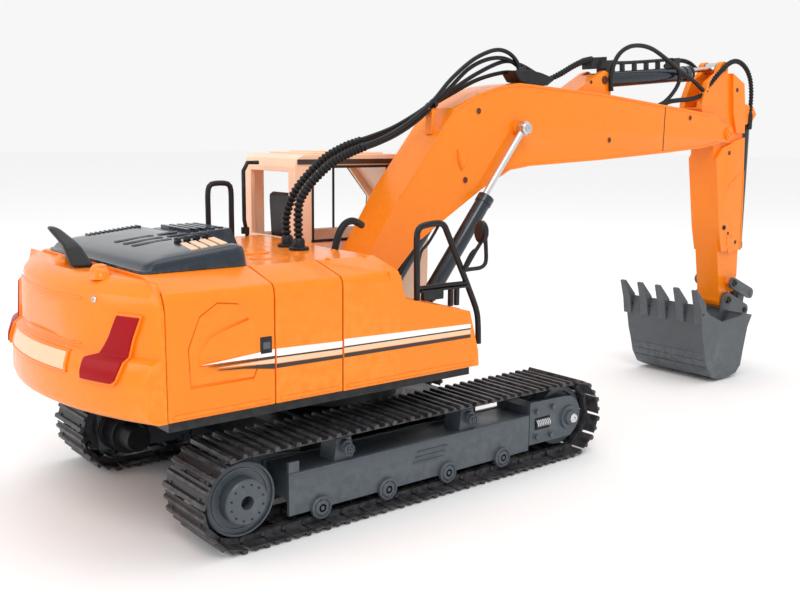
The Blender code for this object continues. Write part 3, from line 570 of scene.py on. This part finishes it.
def hood_skin():
    """The engine lid: steep sides, a rounded shoulder and a top that rises to the front and swells a little."""
    rings = []
    for inset, lift, level in ((0, None, 130.3), (0.1, None, 131.4), (0.8, -3.0, 0), (1.4, -1.2, 0), (2.8, -0.1, 0),
                               (5.0, 0.6, 0), (12.0, 1.1, 0), (24.0, 1.4, 0)):
        back = inset * (2.2 if lift is not None and inset < 6 else 1.2)
        corners = ((-147 + back, -62 + inset), (-92 - inset, -62 + inset), (-92 - inset, 58 - inset),
                   (-147 + back, 58 - inset))
        ring, r = [], max(1.0, 5 - inset * 0.2)
        for k, (cx, cy) in enumerate(corners):
            ix, iy = (1, -1, -1, 1)[k], (1, 1, -1, -1)[k]
            for j in range(5):
                t = math.radians(180 + 90 * k + 90 * j / 4)
                ring.append((cx + ix * r + r * math.cos(t), cy + iy * r + r * math.sin(t)))
        rings.append([(a, b, level if lift is None else lid_z(a) + lift) for a, b in ring])
    work = bmesh.new()
    add_loft(work, rings)
    lid = from_bmesh("hood_skin", work, "slate_blue", "upper", 50)
    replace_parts(lid, "engine_hood")


def add_slot(work, x0, x1, y, wide, lift):
    """A long rounded bar that lies on the lid."""
    ends = arc(x1, y, wide / 2, -90, 90, 6) + arc(x0, y, wide / 2, 90, 270, 6)
    add_loft(work, [[(a, b, lid_z(a) + 1.45 + level) for a, b in ends] for level in (-0.9, lift)])


def hood_details():
    """Slots, levers, teeth and grille of the engine hood, and the domes behind it."""
    hood_skin()
    slot_rows = (7.5, -3.6, -13.6)
    work = bmesh.new()
    for y in slot_rows:
        add_slot(work, -129, -110.5, y, 2.6, 0.0)
        add_slot(work, -106, -97.6, y - 1.5, 2.6, 0.0)
    from_bmesh("hood_slots", work, "black", "upper")
    work = bmesh.new()
    for y in slot_rows:
        for x0, x1, dy in ((-129.6, -109.9, 0), (-106.6, -97.2, -1.5)):
            for edge in (-1.65, 1.65):
                add_slot(work, x0, x1, y + dy + edge, 0.4, 0.12)
    from_bmesh("hood_slot_lips", work, "slate_blue", "upper", bevel=0.12)
    work, levers = bmesh.new(), bmesh.new()
    for x in (-112.5, -107.4, -102.3, -97.2):
        z = lid_z(x) + 1.2
        add_turned(levers, (x, -27.5, z - 0.6), (0, 0, 1),
                   [(0, 1.9), (1.3, 1.9), (1.8, 1.5), (1.8, 0.9), (3.0, 0.8)], 14)
        add_box(levers, x - 0.6, x + 0.6, -30, -24.6, z + 0.8, z + 2.2)
        ring = [(x - 1.2, -32), (x + 2.4, -32), (x - 2.4, -54), (x - 6.0, -54)]
        add_loft(work, [[(a, b, lid_z(a) + 1.15 + level) for a, b in ring] for level in (-1.2, 0.35)])
    from_bmesh("hood_lever_pads", work, "peach", "upper", bevel=0.3)
    from_bmesh("hood_levers", levers, "black", "upper", bevel=0.2)
    work = bmesh.new()
    for k in range(12):
        x = -128 + 2.6 * k
        add_box(work, x, x + 1.3, 47, 53, lid_z(x) - 0.5, lid_z(x) + 1.7)
    from_bmesh("hood_far_teeth", work, "slate_blue", "upper", bevel=0.2)
    solid("side_hood_grille", "slate_blue", "upper",
          [(add_box, -86 + 5 * k, -83.4 + 5 * k, 16, 48, 139, 141.2 + 0.03 * k) for k in range(5)], bevel=0.3)
    work = bmesh.new()
    for x, y in ((-157.2, -41), (-153.5, 17)):
        add_turned(work, (x, y, 127), (0, 0, 1),
                   [(0, 5.0), (1.5, 4.6), (3.4, 3.4), (4.6, 2.0), (4.8, 1.0), (4.2, 0.9)], 20)
    from_bmesh("lifting_domes", work, "orange", "upper", sharp=45)


def deck_details():
    """What stands on the deck in front of the hood, and the leads on the front handrail."""
    for name, x, y in (("socket_near", -37, -20), ("socket_far", -34, -3.6)):
        work = bmesh.new()
        add_turned(work, (x, y, 0), (0, 0, 1), [(129.8, 5.6), (131.4, 5.6), (131.8, 5), (131.8, 3.4), (135.5, 3.2),
                                                (136.4, 2.6)], 24)
        from_bmesh(name, work, "black", "upper")
    work = bmesh.new()
    for x, y in ((-47.6, -34), (-24, -34), (-47, -62), (-24, -62)):
        add_button(work, (x, y, 130), (0, 0, 1), 1.4, 0.8)
    from_bmesh("deck_screws", work, "orange", "upper")
    work = bmesh.new()
    oval = arc(-66, -40, 5, 90, 270, 8) + arc(-54, -40, 5, -90, 90, 8)
    add_prism(work, [(a - 8, b) for a, b in oval], "z", 129.7, 130.5)
    add_box(work, -88, -58, -24, -8, 129.7, 130.7)
    from_bmesh("deck_panels", work, "orange", "upper", bevel=0.3)
    hose("deck_pipe", [(-20.7, -30, 127.6), (-19.6, -30, 132), (-17.3, -30, 138.6), (-13.2, -29.6, 143.6),
                       (-8, -29, 145.2), (-3, -27.5, 143.9), (2, -25, 142)], 2.0, "upper", n=14)
    work = bmesh.new()
    add_turned(work, (-21, -30, 123), (0.1, 0, 1), [(0, 3.4), (6.2, 3.4), (7, 2.6)], 6)
    from_bmesh("deck_pipe_nut", work, "black", "upper")
    work = bmesh.new()
    for x in (-6, 4, 14, 24):
        z = 107.4 - 0.244 * (x + 6)  # the front deck falls to the front
        add_prism(work, [(x, z - 0.5), (x + 6, z - 1.96), (x + 6, z - 1.1), (x, z + 0.36)], "y", -78, -36)
    from_bmesh("deck_treads", work, "orange", "upper", bevel=0.25)
    hose("mirror_loop", [(29.4, -80, 120.2), (36, -80, 120.4), (42.5, -80, 120.6), (46, -80, 122.2),
                         (47, -80, 125.5), (46.2, -80, 135.8), (45.2, -80.4, 141), (43.5, -81.5, 142.6)],
         1.15, "upper", look="black")
    hose("wavy_lead_a", [(39.8, -83, 135), (38.6, -81.6, 131.9), (35.6, -81, 130.2), (33, -81, 127.4),
                         (31, -81, 124.4), (29.6, -80.6, 121.4)], 0.8, "upper", n=8)
    hose("wavy_lead_b", [(12, -79.6, 145.6), (9.4, -78, 140), (6.4, -77, 135.4), (2.6, -77, 132.4),
                         (0.6, -77.6, 127.6), (-1.6, -78.6, 121)], 0.8, "upper", n=8)
    work = bmesh.new()
    add_box(work, -1.5, 33, -82, -78, 110.8, 112.0)
    add_box(work, 1, 15, -81.4, -78.6, 106.2, 111)
    for x in (20, 24.4):
        add_box(work, x, x + 2.4, -81, -78.6, 101.4, 111)
    from_bmesh("front_step", work, "black", "upper", bevel=0.3)


# Rows up a tail lamp: its height and the angles round the swing axis where it starts and ends.
LAMP_ROWS = ((84.4, 196, 202.2), (86, 196, 203.0), (88, 196, 203.3), (91, 196, 203.6), (94, 196.2, 203.9),
             (96, 198.4, 204.1), (100, 199.5, 204.5), (104, 200.4, 204.9), (109, 201.2, 205.6), (113.8, 202, 206.3))


def add_lamp(work, side, lift, depth, grow=0.0):
    """The bent lamp: a tall slanted leg over a block that points to the middle."""
    rings = []
    for k, (z, a0, a1) in enumerate(LAMP_ROWS):
        z += grow * (-1 if k == 0 else 1 if k == len(LAMP_ROWS) - 1 else 0)
        turns = [math.radians(a0 - grow * 0.4 + (a1 - a0 + grow * 0.8) * j / 5) for j in range(6)]
        r = counterweight_radius(z)
        rings.append([((r + lift) * math.cos(t), -side * (r + lift) * math.sin(t), z) for t in turns]
                     + [((r - depth) * math.cos(t), -side * (r - depth) * math.sin(t), z) for t in reversed(turns)])
    add_loft(work, rings)


def rear_details():
    """The plain rear plate, the lamps and the raised lines of the counterweight."""
    work = bmesh.new()
    add_wrap(work, 168.6, 191.4, 85.6, 94.0, 0.5, 2.5, steps=20)
    from_bmesh("rear_plate", work, "peach", "upper", bevel=0.3)
    work = bmesh.new()
    for z0, z1 in ((84.9, 85.6), (94.2, 94.9)):
        add_wrap(work, 168.0, 192.0, z0, z1, 0.9, 2.0, steps=20)
    add_wrap(work, 191.4, 192.0, 85.0, 94.8, 0.7, 2.0)
    add_wrap(work, 168.0, 168.6, 85.0, 94.8, 0.7, 2.0)
    from_bmesh("rear_plate_rim", work, "orange", "upper", bevel=0.2)
    work = bmesh.new()
    for z0, z1 in ((97.6, 98.5), (118.2, 119.1)):
        add_wrap(work, 166.6, 193.4, z0, z1, 0.4, steps=24)
    from_bmesh("rear_frame", work, "orange", "upper", bevel=0.25)
    for side, word in ((1, "left"), (-1, "right")):
        work = bmesh.new()
        add_lamp(work, side, 1.5, 1.0, 0.9)
        from_bmesh("lamp_bezel_" + word, work, "orange", "upper", bevel=0.3)
        work = bmesh.new()
        add_lamp(work, side, 2.2, 0.5)
        lamp = from_bmesh("lamp_lens_" + word, work, "red", "upper", bevel=0.5)
        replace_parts(lamp, "tail_lamp_" + word)
        work = bmesh.new()
        turn, height = math.radians(196.5 if side < 0 else 163.5), 119
        radius = counterweight_radius(height)
        add_button(work, (radius * math.cos(turn), radius * math.sin(turn), height),
                   (math.cos(turn), math.sin(turn), 0.1), 1.5, 0.8)
        from_bmesh("rear_bolts_" + word, work, "steel", "upper")


def cab_details():
    """Window seals, roof hatch, console, door trim and grab rails."""
    work = bmesh.new()
    for y0, y1 in ((25.0, 26.0), (84.6, 85.6)):  # the cab's inner and outer side
        for x0, x1, z0, z1 in ((2, 3.4, 128, 173.4), (58.6, 60.2, 128, 173.0)):
            add_box(work, x0, x1, y0, y1, z0, z1)
        add_prism(work, [(1.6, 127.4), (87.6, 127.4), (87.6, 129.2), (1.6, 129.2)], "y", y0, y1)
        add_prism(work, [(1.6, 172.2), (69.4, 172.2), (69.0, 173.8), (1.6, 173.8)], "y", y0, y1)
        add_prism(work, [(86.0, 129), (87.8, 129), (89.8, 150.5), (75.6, 167), (69.8, 173.6), (68.6, 172.4),
                         (74.3, 165.8), (87.9, 150)], "y", y0, y1)
    from_bmesh("cab_window_seals", work, "black", "upper", bevel=0.25)
    work = bmesh.new()
    add_box(work, -8, 68, 24.9, 26.0, 174.6, 177.6)
    add_box(work, -8, 68, 84.6, 85.6, 174.6, 177.6)
    from_bmesh("cab_roof_strip", work, "brown", "upper", bevel=0.2)
    work = bmesh.new()
    add_box(work, 4, 62, 33, 77, 180.2, 181.6)
    add_box(work, 14, 50, 40, 70, 181.2, 182.4)
    from_bmesh("cab_roof_hatch", work, "pale", "upper", bevel=0.6)
    work = bmesh.new()
    add_box(work, 66, 84, 44, 66, 84.5, 108)
    add_turned(work, (64, 55, 118), (-0.6, 0, 0.9), [(-10, 1.2), (0, 1.2)], 10)
    for y in (36, 74):
        add_turned(work, (30, y, 96), (0.15, 0, 1), [(0, 1.2), (12, 1.0), (12, 2.2), (18, 2.2), (19, 1.2)], 12)
        add_box(work, 6, 36, y - 4, y + 4, 84.6, 97)
    from_bmesh("cab_console", work, "black", "upper", bevel=0.8)
    work = bmesh.new()
    add_box(work, 8, 60, 84.8, 85.4, 72, 73)
    add_box(work, 10, 58, 84.8, 85.4, 85.4, 86.6)
    for z in (76, 80):
        add_box(work, 12, 56, 84.8, 85.5, z, z + 1)
    add_box(work, 50, 56, 84.8, 86.4, 112, 114.2)
    from_bmesh("cab_door_trim", work, "black", "upper", bevel=0.25)
    y = 86.0
    for tag, x in (("front", 64), ("rear", -2)):
        work = bmesh.new()
        add_hose(work, [(x, y - 1.2, 98), (x, y + 1.4, 100), (x, y + 1.6, 112), (x, y + 1.6, 122), (x, y + 1.4, 124),
                        (x, y - 1.2, 126)], 0.9)
        from_bmesh("cab_grab_" + tag, work, "black", "upper", 60)


def upper():
    """The upper body: its CAD shapes refined, the rails redrawn as tubes, and the details."""
    # The turntable frame is drawn black rather than in its own colour: painted shade under the body.
    refined("turntable_frame", 0.5, look="black")
    refined("counterweight", 0.9, segments=3, angle=25)
    for node in ("right_rear_cover", "right_mid_cover", "right_front_cover", "left_cover"):
        refined(node, 0.6, segments=3)
    refined("side_hood", 1.2, segments=3)
    refined("cab_shell", 1.1, segments=3)
    refined("cab_seat", 1.8, segments=4, angle=20)
    refined("exhaust_fin", 2.0, segments=4, angle=15)
    refined("battery_pack", 2.0)
    refined("control_board", 0.4)
    refined("cab_side_rail", 0.05, angle=80, sharp=60)
    rear = [(-49.5, 130.3), (-49.5, 146), (-49.4, 157), (-48.2, 161.4), (-45, 162.8), (-38, 162.8), (-34.8, 161.4),
            (-33.8, 157), (-33.8, 146), (-33.8, 130.3)]
    rail = hose("rear_hoop", [(x, 60, z) for x, z in rear], 1.65, "upper", look="black")
    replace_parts(rail, "rear_handrail")
    front = [(-2.6, 107), (-2.9, 124), (-3.2, 139), (-2.2, 144), (1.5, 146), (11, 146.8), (15.4, 145.4),
             (18.4, 140.4), (26, 125.8), (34.5, 109.5), (40.2, 97.6), (41.8, 90), (42.4, 78)]
    hoop = bmesh.new()
    for route, r in ((front, 1.7), ([(-3, 113), (15, 113.2), (33.4, 113)], 1.3)):
        add_hose(hoop, [(x, -80.0, z) for x, z in route], r)
    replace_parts(from_bmesh("front_hoop", hoop, "black", "upper", 60), "front_handrail")
    refined("side_mirror", 0.4)
    side_details()
    hood_details()
    deck_details()
    rear_details()
    cab_details()


# ---------------------------------------------------------------- digging gear

BOOM_HALF = 14  # from the middle plane to the boom's side
BOOM_HOLES = ((101, 207.7, 2.0, 2.5), (90.7, 165, 2.0, 2.5), (228.7, 190.3, 1.9, 2.4), (323.8, 207.4, 1.9, 2.4))


def boom_details():
    """Holes, seam, flanges, bosses and screws of the boom."""
    holes, rims = bmesh.new(), bmesh.new()
    for side in (-1, 1):
        for x, z, r, rim in BOOM_HOLES:
            spot = (x, side * BOOM_HALF, z)
            # Each hole is a flat disc in the dark look: painted shade inside the hole.
            add_turned(holes, spot, (0, side, 0), [(-0.5, r), (0.1, r), (0.1, r * 0.8)], 18)
            add_turned(rims, spot, (0, side, 0), [(-0.4, rim), (0.35, rim), (0.35, rim * 0.82), (-0.4, rim * 0.82)],
                       24, True)
    from_bmesh("boom_holes", holes, "dark", "boom_body")
    from_bmesh("boom_hole_rims", rims, "orange", "boom_body")
    work = bmesh.new()
    for side in (-1, 1):
        add_prism(work, [(291.4, 181.2), (292.2, 181.2), (292.8, 216.0), (292.0, 216.0)], "y", *span(side, 13.6, 14.14))
    from_bmesh("boom_seam", work, "dark", "boom_body")
    lower = [(54.5, 129.4), (75.3, 141.9), (103.8, 158.4), (119.6, 165.7), (130.3, 170.7), (148.9, 173),
             (219.8, 176.3), (294.7, 180.9), (343.3, 184.6), (364, 188)]
    upper_edge = [(38.5, 157.3), (61.4, 184.9), (81.2, 209.1), (101.9, 218.8), (119, 223.7), (137, 226.3),
                  (175.5, 224.5), (216.8, 222.6), (291.6, 216.3), (352, 210.9)]
    work = bmesh.new()
    for side in (-1, 1):
        near, far = span(side, 13.2, 14.55)
        for edge, high in ((lower, 1.7), (upper_edge, -1.7)):
            add_loft(work, [[(x, near, z), (x, far, z), (x, far, z + high), (x, near, z + high)] for x, z in edge])
    from_bmesh("boom_flanges", work, "orange", "boom_body", bevel=0.3)
    work = bmesh.new()
    for side in (-1, 1):
        add_turned(work, (376.4, side * 15.6, 195.7), (0, side, 0),
                   [(-0.8, 3.4), (0.5, 3.4), (1.0, 2.8), (1.0, 1.6), (0.4, 1.4)], 20)
    from_bmesh("boom_pin_heads", work, "orange", "boom_body", bevel=0.12)
    work = bmesh.new()
    for side in (-1, 1):
        add_turned(work, (136, side * 22.2, 197.5), (0, side, 0),
                   [(-0.4, 4.1), (0.9, 4.1), (1.5, 3.5), (1.5, 2.7), (0.9, 2.5), (0.9, 1.9), (1.7, 1.7), (1.7, 0.9),
                    (0.8, 0.8)], 28)
    from_bmesh("boom_eye_screws", work, "steel", "boom_body", bevel=0.08)
    work = bmesh.new()
    drop = [(83.6, 183.8), (86.4, 183.0), (91.0, 179.4), (91.2, 177.8), (89.2, 173.2), (87.6, 171.0), (86.2, 172.6),
            (84.4, 177.6)]
    mid = (87.6, 177.6)
    for side in (-1, 1):
        add_loft(work, [[(mid[0] + (a - mid[0]) * grow, side * level, mid[1] + (b - mid[1]) * grow) for a, b in drop]
                        for grow, level in ((1.06, 13.8), (0.98, 15.0), (0.62, 16.0))])
    from_bmesh("boom_drop_bosses", work, "orange", "boom_body", bevel=0.2, sharp=50)
    work = bmesh.new()
    for side in (-1, 1):
        add_turned(work, (226.4, side * 8, 232), (0, side, 0), [(1.4, 3.0), (2.4, 2.8), (2.4, 1.6), (1.9, 1.4)], 18)
        add_button(work, (212, side * 9.6, 230), (0, side, 0), 1.2, 0.6)
    from_bmesh("ear_screws", work, "dark", "boom_body")


ARM_HALF = 13.0  # from the middle plane to the arm's side


def arm_details():
    """Holes, screws and ribs of the arm."""
    holes, bolts, work = bmesh.new(), bmesh.new(), bmesh.new()
    for side in (-1, 1):
        for x, z, r in ((387, 230.6, 1.8), (387, 115, 1.4), (398.4, 107, 1.7), (381.5, 180.5, 1.8)):
            # Each hole is a flat disc in the dark look: painted shade inside the hole.
            add_turned(holes, (x, side * ARM_HALF, z), (0, side, 0), [(-0.5, r), (0.12, r), (0.12, r * 0.8)], 18)
        for x, y, z, r, h in ((380.5, ARM_HALF, 120, 2.0, 1.0), (391, 15.4, 59, 3.0, 1.0),
                              (393.5, 18.2, 73.5, 3.0, 1.0), (371, 10.3, 247, 2.6, 0.8)):
            add_button(bolts, (x, side * y, z), (0, side, 0), r, h)
        ends = span(side, 12.7, 13.5)
        add_prism(work, [(383.6, 153), (399.6, 163), (399.0, 164.4), (383.0, 154.6)], "y", *ends)
        add_prism(work, [(403.1, 166), (404.4, 166), (405.6, 141.6), (407.2, 100), (405.9, 100), (404.3, 141.6)],
                  "y", *ends)
        add_box(work, 389.6, 393.4, *ends, 112, 112.9)
        add_box(work, 385.6, 386.5, *ends, 104, 113)
        add_box(work, 388, 394, *ends, 98.6, 102.4)
    from_bmesh("arm_holes", holes, "dark", "arm_body")
    from_bmesh("arm_bolts", bolts, "black", "arm_body")
    from_bmesh("arm_ribs", work, "orange", "arm_body", bevel=0.25)


def bucket_details():
    """Wear bands and screws of the bucket, and the collars at its teeth."""
    work = bmesh.new()
    for z, x in ((12, 334.6), (18, 332.2), (24, 330.4), (30, 329.2)):
        add_prism(work, [(x - 0.5, z), (x + 0.7, z), (x + 0.5, z + 0.8), (x - 0.7, z + 0.8)], "y", -34, 34)
    from_bmesh("bucket_bands", work, "bucket_grey", "bucket_body", bevel=0.2)
    work = bmesh.new()
    for side in (-1, 1):
        add_button(work, (417, side * 14.9, 48), (0, side, 0), 2.4, 0.8)
    for y in (-34.0, -17.2, 0.0, 17.2, 34.0):
        add_turned(work, (322.6, y, 57), (0, 1, 0), [(-3.9, 1.0), (3.9, 1.0)], 10)
    from_bmesh("bucket_bolts", work, "black", "bucket_body", bevel=0.1)


def across(piece, body, other, start, end):
    """Bakes the hose's placement into its mesh; the hose does not bend with the joint between the two bodies."""
    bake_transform(piece)


def boom_hoses():
    """The lines from the deck up the boom's back, with their clamps, and on to the arm cylinder."""
    boom_body = "boom_body"
    bend = ((-32, 0, 160), (62, 0, 206))
    for name, points in (
            ("guard_near", [(-37, -20, 133), (-37.4, -20, 146), (-36, -19.5, 156), (-29.5, -18, 164), (-21, -17, 171),
                            (-11, -16, 177.5), (2, -14.6, 182.6), (13, -13.6, 186.0)]),
            ("guard_far", [(-34, -3.6, 133), (-34.5, -3.4, 146), (-30, -3.2, 158), (-22, -3, 167.5), (-8, -3, 179),
                           (6, -3, 185.6), (17, -3, 188.8)])):
        across(hose(name, points, 2.35, None, ribs=0.75, pitch=2.7, n=14), "upper", boom_body, *bend)
    runs = (
        ("boom_hose_a", [(8, -14.8, 185.4), (24, -13.2, 189.9), (40, -11.6, 196.2), (56, -10.2, 205),
                         (69, -9.4, 214.5), (82, -8.8, 226.4), (98.5, -8, 237.8), (112, -7.5, 244), (124, -7, 246.8),
                         (134, -7, 245), (141, -7, 240), (143.6, -7, 234)]),
        ("boom_hose_b", [(8, -13.4, 183.6), (24, -11.8, 187.8), (40, -10, 193.4), (56, -8.4, 201.4), (70, -7.2, 211),
                         (84, -6.4, 222), (99, -6, 233.6), (114, -5.6, 240), (128, -5.4, 242), (140, -5, 239.6),
                         (149, -4.6, 234)]),
        ("boom_hose_c", [(11, -3.6, 188), (24, -3.8, 191.4), (40, -4.2, 196.6), (56, -4.4, 204), (70, -4.4, 211.6),
                         (80, -4.2, 216.4), (107, -3.6, 230.6), (132, -3.2, 240), (147, -3, 239), (160, -3, 235),
                         (170, -3, 230.6)]),
        ("boom_hose_d", [(11, -2.4, 186), (24, -2.2, 189.4), (40, -2.2, 194.4), (56, -2.2, 201.8), (71, -2.2, 210),
                         (90, -2, 218.8), (112, -1.4, 228), (136, -1, 233.5), (152, -1, 233)]),
    )
    for name, points in runs:
        across(hose(name, points, 1.35, None), "upper", boom_body, *bend)
    work = bmesh.new()
    add_box(work, 67, 69.4, -8.6, -2.6, 193, 208.6)
    add_box(work, 64, 72, -8.6, -2.6, 207.6, 209)
    from_bmesh("hose_clamp_bracket", work, "orange", boom_body, bevel=0.4)
    work = bmesh.new()
    for x, z, y0, y1 in ((68.6, 211.6, -10.8, -6.0), (69.5, 209.6, -5.8, -1.0)):
        add_turned(work, (x, (y0 + y1) / 2, z), (0.8, 0, 0.6), [(-1.2, 2.9), (1.2, 2.9)], 16)
    from_bmesh("hose_clamps", work, "black", boom_body, bevel=0.3)
    work = bmesh.new()
    add_prism(work, [(136, 234.4), (150, 235.6), (162, 234), (173, 231.4), (174, 229.6), (168, 226), (157, 225),
                     (142, 227.6)], "y", -9.8, 3.4)
    for spot in ((143.6, -7, 234), (149, -4.6, 234.6), (152, -1, 234)):
        add_turned(work, spot, (0, 0, 1), [(-2, 2.1), (2.4, 2.1), (3.2, 1.6)], 12)
    from_bmesh("hose_manifold", work, "black", boom_body, bevel=0.5)
    hose("spiral_hose_a", [(171, -3, 229.6), (178, -3.6, 231.4), (188, -4.4, 235.8), (198, -5, 240.6),
                           (208, -5.2, 244.4), (218, -4.4, 246.4)], 1.75, boom_body, ribs=0.55, pitch=2.6)
    hose("spiral_hose_b", [(171, 1, 229.6), (180, 1.2, 231), (192, 1.8, 234.4), (204, 2.4, 239.6), (213, 2.6, 243),
                           (219, 2.4, 244.4)], 1.5, boom_body, ribs=0.45, pitch=2.6)


def valve_block():
    """What lies on the arm cylinder's barrel."""
    barrel, lean = "arm_barrel_body", math.radians(85.034)
    along = Vector((math.sin(lean), 0, math.cos(lean)))
    base = Vector((226.4, 0, 232))

    def on_barrel(s, up, y):
        """A point at s along the barrel, and so far above its middle."""
        p = base + along * s
        return (p.x - along.z * up, y, p.z + along.x * up)

    work = bmesh.new()
    for s0, s1, wide, low, high in ((8, 18, 4.5, 4.6, 13.5), (88, 96, 4.0, 4.6, 12.5), (30, 33, 1.4, 4.6, 11),
                                    (44, 47, 1.4, 4.6, 11), (58, 61, 1.4, 4.6, 11), (72, 75, 1.4, 4.6, 11),
                                    (-7.5, 9, 4.6, 8.0, 16.0)):
        add_loft(work, [[on_barrel(s, low, -wide), on_barrel(s, low, wide), on_barrel(s, high, wide),
                         on_barrel(s, high, -wide)] for s in (s0, s1)])
    pipe = [(12, 12), (34, 11.2), (60, 11.2), (92, 11.6)]
    add_hose(work, [on_barrel(s, up, 0) for s, up in pipe], 1.3)
    from_bmesh("valve_block", work, "black", barrel, bevel=0.25)
    work = bmesh.new()
    for s in (3.4, 104):
        add_turned(work, base + along * s, along, [(6.4, 6.2), (8.6, 6.2), (8.6, 5.2), (6.4, 5.2)], 28, True)
    from_bmesh("arm_cylinder_bands", work, "black", barrel, bevel=0.15)


def arm_hoses():
    """The lines that cross to the arm and go over its top."""
    boom_body, arm_body = "boom_body", "arm_body"
    arc_points = [(232, -11.4, 224.5), (231, -11.4, 236), (237, -11.4, 248.5), (248, -11, 255.4),
                  (262, -10.6, 257.8), (278, -10, 256.4), (296, -9.4, 250.4), (314, -8.8, 243), (332, -8.4, 236.4),
                  (344, -8, 231), (350, -7.8, 227.6)]
    across(hose("hose_big_arc", arc_points, 1.6, None), boom_body, arm_body, (300, 0, 250), (350, 0, 228))
    hose("spiral_over_arm", [(350.6, -8, 229.6), (356, -10.4, 236.6), (365, -12, 245), (377, -11.6, 251.6),
                             (391, -9.6, 253.2), (403, -9, 249), (411, -8.8, 240.6), (414.4, -8.6, 230),
                             (414.8, -8.6, 221), (414.6, -8.6, 213)], 1.8, arm_body, ribs=0.5, pitch=2.5)
    work = bmesh.new()
    add_turned(work, (414.4, -8.6, 199.5), (0, 0, 1), [(0, 1.9), (1, 2.5), (12, 2.5), (13.5, 2.0)], 14)
    add_turned(work, (348.6, -7.6, 225.6), (0.5, -0.1, 0.8), [(-3, 2.6), (4, 2.6), (5, 2.1)], 14)
    from_bmesh("hose_fittings", work, "black", arm_body, bevel=0.2)
    back_points = [(320, 8.4, 247), (332, 10, 250.6), (346, 12.4, 252.8), (358, 13, 251.4), (367, 12.4, 247)]
    across(hose("spiral_back", back_points, 1.6, None, ribs=0.45, pitch=2.5), boom_body, arm_body,
           (326, 0, 249), (360, 0, 249))
    hose("short_hose_a", [(289, -9.6, 216), (297, -9.6, 219), (306, -9.4, 225), (313, -9, 232), (315, -8.8, 238),
                          (312, -8.8, 244)], 1.5, boom_body)
    low_points = [(300, -5, 215.4), (308, -5, 219.2), (320, -5.4, 220.8), (334, -6, 222), (343, -7, 224),
                  (349, -7.6, 226)]
    across(hose("short_hose_b", low_points, 1.8, None), boom_body, arm_body, (312, 0, 221), (349, 0, 230))
    solid("arm_front_clip", "black", arm_body, [(add_box, 405.4, 408.6, -11, -5, 127, 143)], bevel=0.4)


def digging_gear():
    """Boom, arm, bucket, linkage and cylinders, with their details and hoses."""
    refined("boom", 0.5, angle=25)
    refined("arm", 0.5, angle=25)
    refined("bucket", 0.35)
    refined("rocker_link", 0.4)
    refined("bucket_link", 0.4)
    for node in ("boom_cylinder_barrel_right", "boom_cylinder_barrel_left", "arm_cylinder_barrel",
                 "bucket_cylinder_barrel", "boom_cylinder_rod_right", "boom_cylinder_rod_left", "arm_cylinder_rod",
                 "bucket_cylinder_rod"):
        refined(node, 0.3)
    boom_details()
    arm_details()
    bucket_details()
    boom_hoses()
    valve_block()
    arm_hoses()


add_camera()
add_stage()
undercarriage()
upper()
digging_gear()
